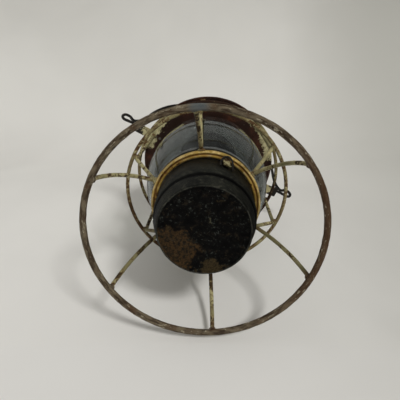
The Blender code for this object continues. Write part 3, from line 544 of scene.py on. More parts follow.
def brass_look():
    look = Look("tarnished_burner_brass")
    patch = look.noise(160, 5, 0.6, 0.5)
    fine = look.noise(1300, 4, 0.7, seed=6.0)
    soot = look.step(look.z, 0.0700, 0.0820) * look.step(patch, 0.30, 0.60)
    color = look.mix(look.step(patch, 0.35, 0.65), srgb(96, 70, 38), srgb(158, 124, 70))
    color = look.mix(look.step(fine, 0.60, 0.72), color, srgb(70, 72, 52))
    color = look.mix(soot, color, srgb(28, 25, 22))
    rough = look.blend(look.step(patch, 0.35, 0.7), 0.60, 0.42)
    return look.finish(color, rough, 0.35, look.bump(fine, 0.2, 0.0003))


def glass_look():
    """Clear glass with a dusty film, soiling and painted shade at its seat, and soot toward its neck."""
    look = Look("hazy_globe_glass")
    haze = look.noise(28, 4, 0.6, 0.6)
    streak = look.noise(90, 4, 0.6, 0.3, look.stretched((1.0, 1.0, 0.22)), 3.0)
    specks = look.noise(900, 3, 0.7, seed=9.0)
    film = look.step(haze * 0.6 + streak * 0.4, 0.42, 0.72)
    dust = (film * 0.035 + 0.005) | (look.step(specks, 0.74, 0.82) * 0.5)
    # Painted shade and soiling together: dark and less clear where the globe stands in the band.
    foot = look.step(look.z, 0.0670, 0.0640)
    soot = look.step(look.z, 0.1640, 0.1920) * 0.45
    dirt_and_seat_shade = dust | (foot * 0.85) | soot
    clear = look.math("SUBTRACT", 1.0, dirt_and_seat_shade, True)
    grime_and_seat_shade = look.mix(look.step(look.z, 0.1500, 0.1700), srgb(122, 122, 112), srgb(48, 42, 36))
    grime_and_seat_shade = look.mix(foot, grime_and_seat_shade, srgb(30, 28, 24))
    color = look.mix(look.math("MULTIPLY", dirt_and_seat_shade, 1.6, True), srgb(188, 193, 192), grime_and_seat_shade)
    rough = look.blend(film, 0.02, 0.10)
    normal = look.bump(streak, 0.10, 0.0008)
    look.finish(color, rough, 0.0, normal, Transmission_Weight=clear, Specular_IOR_Level=0.25, IOR=1.45)
    through = look.add("ShaderNodeBsdfTransparent", {"Color": srgb(236, 238, 234)})
    look.surface("Material Output", look.ray("Is Shadow Ray"), look.shader, through)
    return look.material


def wick_look():
    look = Look("woven_wick_cotton")
    turn = look.add("ShaderNodeMapping", {"Vector": look.place, "Rotation": (0.0, math.radians(45), 0.0)})
    inputs = {"Vector": turn.outputs[0], "Scale": 900.0, "Distortion": 0.3}
    weave = look.add("ShaderNodeTexWave", inputs).outputs["Fac"]
    burnt = look.step(look.z + look.noise(1500, 4, 0.7) * 0.002, 0.0785, 0.0808)
    color = look.mix(look.step(weave, 0.2, 0.8), srgb(150, 136, 108), srgb(198, 186, 158))
    color = look.mix(burnt, color, srgb(24, 21, 19))
    return look.finish(color, 0.92, 0.0, look.bump(weave, 0.6, 0.0004))


def cloth_look(name, color, dark):
    look = Look(name)
    broad = look.noise(3.5, 3, 0.5, 0.4)
    weave = look.noise(1200, 2, 0.5)
    look.color = look.mix(look.step(broad, 0.3, 0.7), dark, color)
    look.finish(look.color, 0.95, 0.0, look.bump(weave, 0.06, 0.0005), Specular_IOR_Level=0.15)
    return look


def see_through(look, opaque):
    """Shows the front of the stage where opaque is 1 and lets rays past it elsewhere."""
    front = 1.0 - Value(look, look.add("ShaderNodeNewGeometry").outputs["Backfacing"])
    clear = look.add("ShaderNodeBsdfTransparent")
    opaque = opaque * (1.0 - look.ray("Is Shadow Ray")) * front
    look.surface("Material Output", opaque, clear, look.shader)
    return look.material


def floor_look():
    """Seen from above only, so that the camera under the lantern looks through it."""
    look = cloth_look("pale_floor", srgb(222, 221, 218), srgb(216, 215, 212))
    return see_through(look, look.ray("Is Camera Ray") | look.ray("Is Transmission Ray"))


def lying_cloth_look():
    """The cloth that the lantern lies on in the photograph. Over the floor only rays from under it see this."""
    look = cloth_look("pale_lying_cloth", srgb(230, 228, 223), srgb(217, 215, 210))
    # Painted shade on the cloth: darker toward the camera's right and up the far cove.
    right = look.step(look.dot(look.place, CAMERA_RIGHT), -0.05, 0.45)
    far = look.step(look.z, 0.05, 0.75)
    painted_cloth_shade = (right * 0.80) | (far * 0.35)
    look.set(look.shader, "Base Color", look.mix(painted_cloth_shade, look.color, srgb(172, 171, 163)))
    below = look.math("LESS_THAN", look.z, -0.00002)
    past_floor = look.math("GREATER_THAN", look.ray("Transparent Depth"), FLOOR_SHEETS - 0.5)
    return see_through(look, below | past_floor)


def smooth(mesh):
    mesh.shade_smooth()
    mesh.set_sharp_from_angle(angle=SMOOTH_ANGLE)


def link(name, mesh, material=None):
    if material is not None:
        mesh.materials.append(material)
    smooth(mesh)
    obj = bpy.data.objects.new(name, mesh)
    bpy.context.scene.collection.objects.link(obj)
    return obj


def to_mesh(name, bm):
    mesh = bpy.data.meshes.new(name)
    bm.to_mesh(mesh)
    bm.free()
    return mesh


def piece(name, bm, material, body, slot, *replaced):
    """A finished mesh that rides a body and stands for the CAD nodes named."""
    bmesh.ops.recalc_face_normals(bm, faces=bm.faces)
    for vert in bm.verts:
        vert.co = [min(max(v, low), high) for v, low, high in zip(vert.co, *cad_box)]
    obj = link(name, to_mesh(name, bm), material)
    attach(obj, body)
    if replaced:
        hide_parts(*replaced)
    return obj


def turns(count):
    """The angles of evenly spaced places round a circle."""
    return [2 * math.pi * i / count for i in range(count)]


def circle_points(radius, z, count):
    return [Vector((radius * math.cos(t), radius * math.sin(t), z)) for t in turns(count)]


def bridge(bm, one, two, count):
    """Faces between two rings of verts, either of which may be a single tip."""
    for i in range(count):
        j = (i + 1) % count
        corners = [one[i % len(one)], one[j % len(one)], two[j % len(two)], two[i % len(two)]]
        bm.faces.new(list(dict.fromkeys(corners)))


def turn_section(section, steps=ROUND):
    """Turns a closed (radius, z) section round Z."""
    bm = bmesh.new()
    rings = []
    for radius, z in section:
        places = circle_points(radius, z, steps) if radius > 1e-9 else [(0.0, 0.0, z)]
        rings.append([bm.verts.new(place) for place in places])
    for first, second in zip(rings, rings[1:] + rings[:1]):
        if len(first) + len(second) > 2:
            bridge(bm, first, second, steps)
    return bm


def turn_sheet(path, thickness, steps=ROUND):
    return turn_section(sheet_section(path, thickness), steps)


def beside(x, z, *steps):
    """Points given by their steps from a corner."""
    return [(x + right, z + up) for right, up in steps]


def offset_path(path, distance):
    moved = []
    points = [Vector(p) for p in path]
    for i, point in enumerate(points):
        before = (point - points[i - 1]).normalized() if i else None
        after = (points[i + 1] - point).normalized() if i + 1 < len(points) else None
        before = before or after
        after = after or before
        normal_before = Vector((-before.y, before.x))
        normal_after = Vector((-after.y, after.x))
        miter = (normal_before + normal_after).normalized()
        moved.append(tuple(point + miter * (distance / miter.dot(normal_after))))
    return moved


def sheet_section(path, thickness):
    return list(path) + list(reversed(offset_path(path, thickness)))


def arc(center, radius, start, end, steps):
    angles = [start + (end - start) * i / steps for i in range(steps + 1)]
    return [(center[0] + radius * math.cos(a), center[1] + radius * math.sin(a)) for a in angles]


def rounded(path, bends, steps=8):
    """The path with an arc at each inner corner that has a bend radius."""
    points = [Vector(p) for p in path]
    result = [points[0]]
    for i in range(1, len(points) - 1):
        back = (points[i - 1] - points[i]).normalized()
        ahead = (points[i + 1] - points[i]).normalized()
        if not bends[i]:
            result.append(points[i])
            continue
        half = back.angle(ahead) / 2
        center = points[i] + (back + ahead).normalized() * (bends[i] / math.sin(half))
        start = points[i] + back * (bends[i] / math.tan(half)) - center
        finish = points[i] + ahead * (bends[i] / math.tan(half)) - center
        for k in range(steps + 1):
            result.append(center + start.slerp(finish, k / steps) * bends[i])
    result.append(points[-1])
    return [(p.x, p.y) for p in result]


def bezier(ends, samples):
    points = interpolate_bezier(*[Vector((r, z, 0.0)) for r, z in ends], samples)
    return [(p.x, p.y) for p in points]


def resample(points, gap):
    """The same line with points no farther apart than gap."""
    result = [points[0]]
    for start, end in zip(points, points[1:]):
        count = max(1, math.ceil((end - start).length / gap))
        result += [start.lerp(end, k / count) for k in range(1, count + 1)]
    return result


def tube(points, radius, sides=SIDES, closed=False):
    """A round wire along 3-D points, with rounded ends unless it is closed."""
    bm = bmesh.new()
    count = len(points)
    normal = None
    rings = []
    for i, point in enumerate(points):
        before = points[i - 1] if i or closed else points[0]
        after = points[(i + 1) % count] if i + 1 < count or closed else points[-1]
        along = (after - before).normalized()
        if normal is None:
            normal = along.orthogonal()
        normal = (normal - along * normal.dot(along)).normalized()
        side = along.cross(normal)
        places = [point + (normal * math.cos(t) + side * math.sin(t)) * radius for t in turns(sides)]
        rings.append([bm.verts.new(place) for place in places])
    for one, two in zip(rings, rings[1:]):
        bridge(bm, one, two, sides)
    if closed:
        first = rings[0][0].co
        shift = min(range(sides), key=lambda k: (rings[-1][k].co - first).length)
        bridge(bm, rings[-1][shift:] + rings[-1][:shift], rings[0], sides)
        return bm
    for ring, tip, inward in ((rings[0], points[0], points[1]), (rings[-1], points[-1], points[-2])):
        round_end(bm, ring, tip, (tip - inward).normalized(), radius)
    return bm


def round_end(bm, ring, tip, out, radius):
    """Closes a wire's last ring with a blunt dome."""
    for reach, share in ((0.55, 0.80), (0.85, 0.45)):
        smaller = []
        for vert in ring:
            away = vert.co - tip
            base = tip + (away - out * away.dot(out)).normalized() * radius * share
            smaller.append(bm.verts.new(base + out * radius * reach * 0.6))
        bridge(bm, ring, smaller, len(ring))
        ring = smaller
    bm.faces.new(ring)


def roughen(bm, amount, scale, seed=0.0):
    """Moves the surface in and out a little, as hand work and corrosion leave it."""
    bm.normal_update()
    shift = Vector((seed, seed * 1.7, seed * 0.3))
    moves = [(v, v.normal * noise.fractal(v.co * scale + shift, 0.8, 2.0, 3) * amount) for v in bm.verts]
    for vert, move in moves:
        vert.co += move


def lump(bm, center, size, seed):
    """A blob of solder or weld, flattened to size on its three axes."""
    place = Matrix.Translation(center) @ Matrix.Diagonal((*size, 1.0))
    made = bmesh.ops.create_icosphere(bm, subdivisions=3, radius=1.0, matrix=place)["verts"]
    for vert in made:
        away = vert.co - center
        vert.co += away * 0.22 * noise.noise(away * 900 + Vector((seed, 0.0, 0.0)))


def round_z(angle):
    return Matrix.Rotation(angle, 4, "Z")


def brim_under_z(radius):
    return BRIM_EDGE_Z + BRIM_SLOPE * (BRIM_RADIUS - radius)


def guard_profile():
    """One guard wire as (radius, z), as in the CAD but finer, and closed up to what carries it."""
    post = HOOP_RADIUS - WIRE - SEAT
    band_z = BAND_Z + BEAD_HEIGHT * 0.55
    touch = BAND_RADIUS + SEAT + WIRE / 2
    shoulder = Vector((post, SHOULDER_Z))
    aim = Vector((0.237, -0.971)).normalized()
    foot = Vector((RING_RADIUS, RING_WIRE / 2)) - aim * (RING_WIRE / 2 - 0.0004)
    waist = Vector((touch, band_z))
    handle = Vector((0.926, -0.378)).normalized()
    up = (shoulder - waist).normalized()
    half = handle.angle(up) / 2
    bisector = (handle + up).normalized()
    waist.x -= bisector.x * WAIST_BEND / math.sin(half) - WAIST_BEND
    span = (foot - waist).length
    flare = [foot, foot - aim * span * 0.41, waist + handle * span * 0.29, waist]
    path = bezier([tuple(p) for p in flare], 24) + [tuple(shoulder)]
    path.append((post, brim_under_z(BRIM_RADIUS - BRIM_BEAD) - 0.0004))
    bends = [0.0] * len(path)
    bends[-3] = WAIST_BEND
    bends[-2] = SHOULDER_BEND
    return rounded(path, bends)


def build_cage(ring, paint):
    center = (RING_RADIUS, RING_WIRE / 2 * math.cos(math.pi / 10))
    bm = turn_section(arc(center, RING_WIRE / 2, -math.pi / 2, math.pi * 1.5, 20)[:-1], 240)
    roughen(bm, 0.00016, 260)
    for vert in bm.verts:
        vert.co.z = max(vert.co.z, 0.0)
    piece("base_ring_worn", bm, ring, "frame", "ring_wire", "base_ring")
    for name, z in (("lower_hoop", LOWER_HOOP_Z), ("upper_hoop", UPPER_HOOP_Z)):
        bm = tube(circle_points(HOOP_RADIUS, z, 200), WIRE / 2, SIDES, True)
        roughen(bm, 0.00010, 300, z * 40)
        piece(f"{name}_wire", bm, paint, "frame", "cage_paint", name)
    profile = guard_profile()
    for i in range(6):
        points = [round_z(math.pi / 3 * i) @ Vector((r, 0.0, z)) for r, z in profile]
        bm = tube(resample(points, 0.0022), WIRE / 2)
        roughen(bm, 0.00010, 300, i * 3.1)
        piece(f"guard_wire_{i + 1}_painted", bm, paint, "frame", "cage_paint", f"guard_wire_{i + 1}")
    build_lumps(ring, paint, profile)


def build_lumps(ring, paint, profile):
    """Weld at the ring and solder at the band, the hoops and the brim."""
    low = bmesh.new()
    high = bmesh.new()
    inside = HOOP_RADIUS - WIRE / 2
    radial = [(profile[0][0] - 0.0002, profile[0][1] + 0.0002, (0.0026, 0.0027, 0.0013), low)]
    radial += [(BAND_RADIUS + 0.0004, BAND_Z + 0.0022, (0.0014, 0.0030, 0.0017), high)]
    radial += [(inside, z, (0.0016, 0.0024, 0.0019), high) for z in (LOWER_HOOP_Z, UPPER_HOOP_Z)]
    radial += [(*profile[-1], (0.0026, 0.0028, 0.0010), high)]
    for i in range(6):
        turn = round_z(math.pi / 3 * i)
        for k, (r, z, size, target) in enumerate(radial):
            start = len(target.verts)
            lump(target, Vector((r, 0.0, z)), size, i * 7.3 + k)
            target.verts.ensure_lookup_table()
            for vert in target.verts[start:]:
                vert.co = turn @ vert.co
    piece("ring_welds", low, ring, "frame", "ring_wire")
    piece("cage_solder", high, paint, "frame", "cage_paint")


def build_band(paint):
    groove = (BAND_LIP_RADIUS + BAND_RADIUS) / 2
    inner = (BAND_LIP_RADIUS + groove) / 2 - 0.0001
    outer = (BAND_RADIUS + groove) / 2 + 0.0001
    bead = BAND_Z + BEAD_HEIGHT
    path = [(BAND_LIP_RADIUS, BAND_Z + 0.0004)]
    path += arc((inner, BAND_Z + 0.0008), 0.0008, math.radians(215), math.radians(325), 8)
    path += [(groove, BAND_Z + SHEET * 1.3)]
    path += arc((outer, BAND_Z + 0.0011), 0.0010, math.radians(225), math.radians(300), 7)
    path += beside(BAND_RADIUS, BAND_Z, (-0.0003, 0.0007), (0.0, 0.0014))
    path += beside(BAND_RADIUS, bead, (0.0, -0.0012), (-0.0003, -0.0003))
    path += [(BAND_WALL_RADIUS, bead + 0.0005), (BAND_WALL_RADIUS, BAND_Z + BAND_HEIGHT)]
    bm = turn_sheet(path, SHEET * 0.8, 160)
    roughen(bm, 0.00008, 260)
    piece("globe_seat_band_beaded", bm, paint, "frame", "band_paint", "globe_seat_band")


def fount_path():
    """The pot's face: inset bottom, crimped rim, tapered cup, seam groove, straight wall and top."""
    flat = FOUNT_FOOT_RADIUS + 0.0004
    seam = (FOUNT_SEAM_RADIUS, FOUNT_SEAM_Z)
    path = [(flat * k / 26, FOUNT_Z) for k in range(27)]
    path += beside(flat, FOUNT_Z, (0.0003, -0.0003), (0.0007, -0.0006), (0.0012, -0.0006),
                   (0.0016, -0.0003), (0.0019, 0.0003), (0.0021, 0.0010))
    foot = Vector(path[-1])
    path += [tuple(foot.lerp(Vector(seam), k / 6)) for k in range(1, 7)]
    path += beside(*seam, (-0.0004, 0.0003), (-0.0010, 0.0006), (-0.0013, 0.0016), (-0.0006, 0.0024),
                   (0.0006, 0.0029), (0.0012, 0.0038))
    path += beside(FOUNT_RADIUS, FOUNT_SEAM_Z, (-0.0002, 0.0080), (0.0, 0.0100), (0.0, 0.0180), (0.0, 0.0260))
    path += beside(FOUNT_RADIUS, FOUNT_TOP_Z, (0.0, -0.0012), (-0.0004, -0.0003), (-0.0012, 0.0))
    return path + [(COLLAR_BORE, FOUNT_TOP_Z)]


def build_fount(paint):
    bm = turn_sheet(fount_path(), 0.00035)
    roughen(bm, 0.00012, 120)
    for vert in bm.verts:
        flat = Vector((vert.co.x, vert.co.y, 0.0))
        inward = FOUNT_FOOT_RADIUS - 0.001 - flat.length
        if vert.co.z < FOUNT_Z + 0.0009 and inward > 0:
            dent = noise.fractal(flat * 70, 0.9, 2.0, 2) * 0.0005
            vert.co.z += max(dent, -0.0003) * min(1.0, inward / 0.004)
    piece("fount_black", bm, paint, "fount", "fount_paint", "fount")


def globe_section():
    low = GLOBE_Z
    high = low + GLOBE_HEIGHT
    lip = GLOBE_NECK_RADIUS + 0.0006
    half = GLOBE_WALL / 2
    middle = (GLOBE_RADIUS, low + GLOBE_HEIGHT * 0.53)
    start = (GLOBE_BASE_RADIUS, low + GLOBE_FITTER)
    finish = (GLOBE_NECK_RADIUS, high - GLOBE_RIM)
    hip = (GLOBE_RADIUS * 0.88, low + GLOBE_HEIGHT * 0.075)
    shoulder = (GLOBE_NECK_RADIUS * 1.43, high - GLOBE_HEIGHT * 0.090)
    path = [(GLOBE_BASE_RADIUS, low + 0.0010), (GLOBE_BASE_RADIUS, low + GLOBE_FITTER * 0.6)]
    path += bezier([start, hip, (GLOBE_RADIUS, low + GLOBE_HEIGHT * 0.32), middle], 26)
    path += bezier([middle, (GLOBE_RADIUS, low + GLOBE_HEIGHT * 0.82), shoulder, finish], 26)[1:]
    path += [(lip - 0.0001, high - GLOBE_RIM * 0.6), (lip, high - GLOBE_RIM * 0.3), (lip, high - 0.0010)]
    inside = list(reversed(offset_path(path, GLOBE_WALL)))
    top = arc((lip - half, high - 0.0010), half, 0.3, math.pi - 0.3, 5)
    foot = arc((GLOBE_BASE_RADIUS - half, low + 0.0010), half, math.pi + 0.3, math.tau - 0.3, 5)
    top = [(r, min(z, high)) for r, z in top]
    foot = [(r, max(z, low)) for r, z in foot]
    return path + top + inside + foot


def build_globe(glass):
    bm = turn_section(globe_section(), 128)
    piece("globe_clear", bm, glass, "frame", "globe_glass", "globe")


def build_brim(paint):
    inner = TOP_COLLAR_RADIUS - SHEET
    bead = BRIM_BEAD / 2
    bead_r = BRIM_RADIUS - bead
    under = brim_under_z(TOP_COLLAR_RADIUS)
    top = under + SHEET
    bead_z = brim_under_z(bead_r) + SHEET / 2
    section = [(inner, under - TOP_COLLAR_BELOW), (TOP_COLLAR_RADIUS, under - TOP_COLLAR_BELOW)]
    section += [(TOP_COLLAR_RADIUS, under - 0.0006), (TOP_COLLAR_RADIUS + 0.0006, under - 0.0001)]
    out = [TOP_COLLAR_RADIUS + (bead_r - bead - TOP_COLLAR_RADIUS) * k / 8 for k in range(1, 8)]
    section += [(r, brim_under_z(r)) for r in out]
    section += arc((bead_r, bead_z), bead, math.radians(195), math.radians(525), 18)
    section += [(r, brim_under_z(r) + SHEET) for r in reversed(out)]
    section += [(TOP_COLLAR_RADIUS + 0.0006, top + 0.0001), (TOP_COLLAR_RADIUS, top + 0.0008)]
    section += [(TOP_COLLAR_RADIUS, top + TOP_COLLAR_ABOVE), (inner, top + TOP_COLLAR_ABOVE)]
    bm = turn_section(section, 160)
    roughen(bm, 0.00010, 200)
    for vert in bm.verts:
        reach = math.hypot(vert.co.x, vert.co.y)
        share = max(0.0, (reach - 0.052) / (BRIM_RADIUS - 0.052))
        turn = math.atan2(vert.co.y, vert.co.x)
        wave = noise.noise(Vector((math.cos(turn) * 1.6, math.sin(turn) * 1.6, 4.0)))
        vert.co.z += 0.0005 * share * share * wave
    piece("brim_rolled", bm, paint, "frame", "top_paint", "brim")


def applied(obj, cutter, operation="DIFFERENCE"):
    """Runs a Boolean on a linked object and leaves its result in the object's mesh."""
    modifier = obj.modifiers.new(cutter.name, "BOOLEAN")
    modifier.operation = operation
    modifier.object = cutter
    modifier.solver = "EXACT"
    bpy.context.view_layer.update()
    graph = bpy.context.evaluated_depsgraph_get()
    mesh = bpy.data.meshes.new_from_object(obj.evaluated_get(graph))
    obj.modifiers.clear()
    obj.data = mesh
    smooth(mesh)
    bpy.data.objects.remove(cutter)


def rods(name, places, radius, depth, sides=24):
    bm = bmesh.new()
    for place in places:
        bmesh.ops.create_cone(bm, cap_ends=True, segments=sides, radius1=radius, radius2=radius, depth=depth,
                              matrix=place)
    bmesh.ops.recalc_face_normals(bm, faces=bm.faces)
    return link(name, to_mesh(name, bm))


def along_x(center):
    return Matrix.Translation(center) @ Matrix.Rotation(math.radians(90), 4, "Y")


def build_drum(paint):
    step = LID_Z + LID_SKIRT_HEIGHT
    corner = [(LID_SKIRT_RADIUS, LID_Z), (LID_SKIRT_RADIUS, step)]
    corner += [(DRUM_RADIUS, step + 0.0006), (DRUM_RADIUS, step + DRUM_HEIGHT)]
    bm = turn_sheet(rounded(corner, [0.0, 0.0012, 0.0008, 0.0], 6), SHEET)
    drum = piece("lid_drum", bm, paint, "lid", "top_paint", "lid")
    vent = along_x((DRUM_RADIUS, 0.0, step + DRUM_HEIGHT * 0.40))
    places = [round_z(t) @ vent for t in turns(VENT_COUNT)]
    applied(drum, rods("vents", places, VENT_DIAMETER / 2, 0.008))


def build_dome(paint):
    seat = DRUM_TOP_Z + SEAT
    rise = seat + DOME_HEIGHT
    top = rise + CROWN_HEIGHT
    path = beside(DOME_RADIUS, DRUM_TOP_Z - DOME_DROP, (0.0, 0.0), (-0.0001, 0.0010))
    path += beside(DOME_RADIUS, seat, (-0.0004, -0.0012), (-0.0012, -0.0002))
    path += [(DRUM_RADIUS + 0.0016, seat + SHEET * 0.8), (DRUM_RADIUS + 0.0008, seat + SHEET)]
    start = (DRUM_RADIUS - 0.0010, seat + SHEET + 0.0004)
    handles = [(DRUM_RADIUS * 0.92, seat + DOME_HEIGHT * 0.62), (CROWN_RADIUS * 1.9, rise - 0.0010)]
    path += bezier([start, *handles, (CROWN_RADIUS + 0.0010, rise)], 22)
    path += beside(CROWN_RADIUS, rise, (0.0003, 0.0004), (0.0, 0.0012))
    crown = [(CROWN_RADIUS, top - 0.0050), (CROWN_RADIUS, top - 0.0006), (0.0045, top)]
    path += rounded(crown, [0, 0.0016, 0], 6) + [(0.0, top)]
    bm = turn_sheet(path, SHEET)
    roughen(bm, 0.00010, 110)
    piece("smoke_dome_rusted", bm, paint, "lid", "top_paint", "smoke_dome")


def build_retainer(tin):
    low = GLOBE_TOP_Z + SEAT
    high = LID_Z + LID_SKIRT_HEIGHT - SHEET - SEAT
    reach = TOP_COLLAR_RADIUS - 2 * SHEET - 2 * SEAT
    corner = [(RETAINER_BORE, low + SHEET * 3), (RETAINER_BORE + 0.0012, low), (reach, low), (reach, high)]
    bm = turn_sheet(rounded(corner, [0.0, 0.0008, 0.0010, 0.0], 5), SHEET)
    piece("globe_retainer_ring", bm, tin, "lid", "dull_tin", "globe_retainer")


def bail_points():
    """The arch with a drop-shaped eye at each foot; the eye's lower strand turns in through the ear."""
    wide, high = BAIL_ARCH
    far = EAR_X + HOOK_REACH
    reach = (HOOK_RISE + 0.0012) / 2
    start = BAIL_ARCH_START
    sweep = [start + (math.pi - 2 * start) * i / 80 for i in range(81)]
    bow = [(wide * math.cos(t), high * math.sin(t)) for t in sweep]
    eye = [Vector((x, z)) for x, z in arc((far - reach, reach - 0.0006), reach, -math.pi / 2, math.pi / 2, 14)]
    low = [Vector((EAR_X - HOOK_TIP, 0.0)), Vector((EAR_X + 0.0030, 0.0))]
    low += [Vector((EAR_X + 0.0075, 0.0)).lerp(eye[0], k / 4) for k in range(4)]
    neck = (EAR_X + 0.0065, 0.0042)
    back = [eye[-1], (far - 0.0105, eye[-1].y), (neck[0] + 0.0045, neck[1] + 0.0004), neck]
    climb = [neck, (neck[0] - 0.0040, neck[1] + 0.0010), (bow[0][0] + 0.0035, bow[0][1] - 0.0105), bow[0]]
    upper = [Vector(p) for p in bezier(back, 10)[1:]]
    rise = [Vector(p) for p in bezier(climb, 12)[1:-1]]
    right = [(p.x, p.y) for p in low + eye + upper + rise]
    left = [(-x, z) for x, z in reversed(right)]
    turn = Matrix.Translation((0.0, 0.0, PIVOT_Z)) @ Matrix.Rotation(BAIL_LEAN, 4, "X")
    return [turn @ Vector((x, 0.0, z)) for x, z in right + bow + left]


def build_bail(dark):
    bm = tube(resample(bail_points(), 0.003), WIRE / 2)
    roughen(bm, 0.00008, 300)
    piece("bail_wire", bm, dark, "bail", "dark_wire", "bail")


def build_catch(dark):
    loop_r = FOUNT_RADIUS + SEAT + CATCH_WIRE / 2
    crest_r = BAND_RADIUS - 0.0002
    crest_z = BAND_Z - SEAT - 0.0022 - CATCH_WIRE / 2
    points = []
    for k in range(-18, 19):
        turn = k / 18 * math.pi / 2
        drop = 1 - math.cos(turn)
        side = CATCH_SPREAD * math.sin(turn)
        points.append(Vector((crest_r - (crest_r - loop_r) * drop, side, crest_z - 0.0085 * drop)))
    foot_r = math.sqrt(loop_r**2 - CATCH_SPREAD**2) + 0.0004
    points.insert(0, Vector((foot_r, -CATCH_SPREAD, CATCH_BOTTOM_Z)))
    points.append(Vector((foot_r, CATCH_SPREAD, CATCH_BOTTOM_Z)))
    turned = [round_z(CATCH_ANGLE) @ p for p in points]
    bm = tube(resample(turned, 0.0015), CATCH_WIRE / 2, 12)
    piece("catch_spring_wire", bm, dark, "frame", "dark_wire", "catch_spring")


def strip(path, thickness, width, turn):
    """A strip of sheet bent along an (x, z) path, with its edges eased."""
    section = sheet_section(path, thickness)
    bm = bmesh.new()
    sides = [[bm.verts.new((x, y, z)) for x, z in section] for y in (-width / 2, width / 2)]
    bridge(bm, *sides, len(section))
    last = len(section) - 1
    for verts in sides:
        for i in range(len(path) - 1):
            bm.faces.new((verts[i], verts[i + 1], verts[last - 1 - i], verts[last - i]))
    bmesh.ops.recalc_face_normals(bm, faces=bm.faces)
    edges = [e for e in bm.edges if e.calc_face_angle(0.0) > 1.2]
    bmesh.ops.bevel(bm, geom=edges, offset=0.00025, segments=2, profile=0.7, affect="EDGES")
    bm.transform(turn)
    return bm


def rivet(bm, place, radius, height):
    """A domed rivet head that stands on the XY plane of its place."""
    rings = []
    for share in (0.0, 0.45, 0.75, 0.92, 1.0):
        z = height * math.sin(share * math.pi / 2) - RIVET_SINK
        points = [Vector((0.0, 0.0, z))]
        if share < 1.0:
            points = circle_points(radius * math.cos(share * math.pi / 2), z, RIVET_SIDES)
        rings.append([bm.verts.new(place @ point) for point in points])
    for one, two in zip(rings, rings[1:]):
        bridge(bm, one, two, RIVET_SIDES)
    bm.faces.new(rings[0])


def ear_path():
    rim = brim_under_z(BRIM_RADIUS) + SHEET + BRIM_BEAD / 2 + SEAT
    knee = EAR_X + EAR_SHEET / 2
    lie = [EAR_FOOT_X + EAR_FOOT * k / 6 for k in range(7)] + [BRIM_RADIUS - BRIM_BEAD * 1.8]
    path = [(x, brim_under_z(x) + SHEET + SEAT) for x in lie]
    path += [(BRIM_RADIUS - BRIM_BEAD * 0.4, rim), (knee, rim + 0.0020), (knee, PIVOT_Z)]
    return rounded(path, [0.0] * 7 + [0.003, 0.003, 0.004, 0.0], 6)


def build_ears(paint, steel):
    """A strap on each side: riveted to the brim, bent up past its edge, with a round bored head."""
    slope = Matrix.Rotation(math.atan(BRIM_SLOPE), 4, "Y")
    for name, turn in (("right", round_z(0.0)), ("left", round_z(math.pi))):
        bm = strip(ear_path(), EAR_SHEET, EAR_WIDTH, turn)
        for vert in bm.verts:
            short = max(0.0, EAR_FOOT_X + EAR_FOOT - abs(vert.co.x)) / (EAR_FOOT + 0.0002)
            vert.co.y *= math.sqrt(max(0.04, 1 - short * short))
        ear = piece(f"bail_ear_{name}_strap", bm, paint, "frame", "dull_tin", f"bail_ear_{name}")
        center = [turn @ along_x((EAR_X, 0.0, PIVOT_Z))]
        applied(ear, rods("head", center, EAR_WIDTH / 2, EAR_SHEET, 40), "UNION")
        applied(ear, rods("boss", center, WIRE / 2 + 0.0016, EAR_SHEET + 0.0007, 32), "UNION")
        applied(ear, rods("bore", center, WIRE / 2 + BAIL_BORE_GAP, 0.01, 32))
        bm = bmesh.new()
        for x in (EAR_FOOT_X + reach for reach in EAR_RIVETS):
            under = brim_under_z(x)
            over = Matrix.Translation((x, 0.0, under + SHEET + SEAT + EAR_SHEET)) @ slope
            rivet(bm, turn @ over, 0.0016, 0.0009)
            below = Matrix.Translation((x, 0.0, under)) @ slope @ Matrix.Rotation(math.pi, 4, "X")
            rivet(bm, turn @ below, 0.0015, 0.0007)
        piece(f"bail_ear_{name}_rivets", bm, steel, "frame", "dull_tin")


def build_hinge_rivets(tin):
    bm = bmesh.new()
    hinge_y = LID_SKIRT_RADIUS + 0.0028
    leaf = (BRIM_RADIUS - BRIM_BEAD - hinge_y) * HINGE_LEAF_SHARE
    slope = Matrix.Rotation(-math.atan(BRIM_SLOPE), 4, "X")
    for x in (-HINGE_RIVET_X, HINGE_RIVET_X):
        for share in (0.42, 0.78):
            y = hinge_y + leaf * share
            z = brim_under_z(y) + SHEET + SEAT + HINGE_SHEET
            rivet(bm, Matrix.Translation((x, y, z)) @ slope, 0.0010, 0.0005)
    piece("hinge_leaf_rivets", bm, tin, "frame", "dull_tin")


def build_tab(paint):
    root = LID_SKIRT_RADIUS + SEAT
    face = root + TAB_SHEET
    z = LID_Z + LID_SKIRT_HEIGHT * 0.25
    path = [(face, z + LID_SKIRT_HEIGHT * 0.5), (face, z), (root + 0.0080, z), (root + 0.0100, z + 0.002)]
    bm = strip(rounded(path, [0.0, 0.0012, 0.004, 0.0], 6), -TAB_SHEET, TAB_WIDTH, round_z(-math.pi / 2))
    for vert in bm.verts:
        out = -vert.co.y - root - 0.0040
        if out > 0:
            vert.co.x *= 1 - 0.42 * (out / 0.0062) ** 2
    piece("lift_tab_rounded", bm, paint, "lid", "top_paint", "lift_tab")
    bm = bmesh.new()
    for x in (-TAB_RIVET_X, TAB_RIVET_X):
        place = Matrix.Translation((x, -face, z + 0.0023)) @ Matrix.Rotation(math.pi / 2, 4, "X")
        rivet(bm, place, 0.0009, 0.0005)
    piece("lift_tab_rivets", bm, paint, "lid", "top_paint")


def dress(material, *names):
    """Puts a node material on CAD nodes whose shape is right."""
    for name in names:
        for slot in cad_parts[name].material_slots:
            slot.material = material


def floor_sheets(name, material, levels):
    bm = bmesh.new()
    for z in levels:
        place = Matrix.Translation((0.0, 0.0, z))
        bmesh.ops.create_grid(bm, x_segments=8, y_segments=8, size=30.0, matrix=place)
    return link(name, to_mesh(name, bm), material)


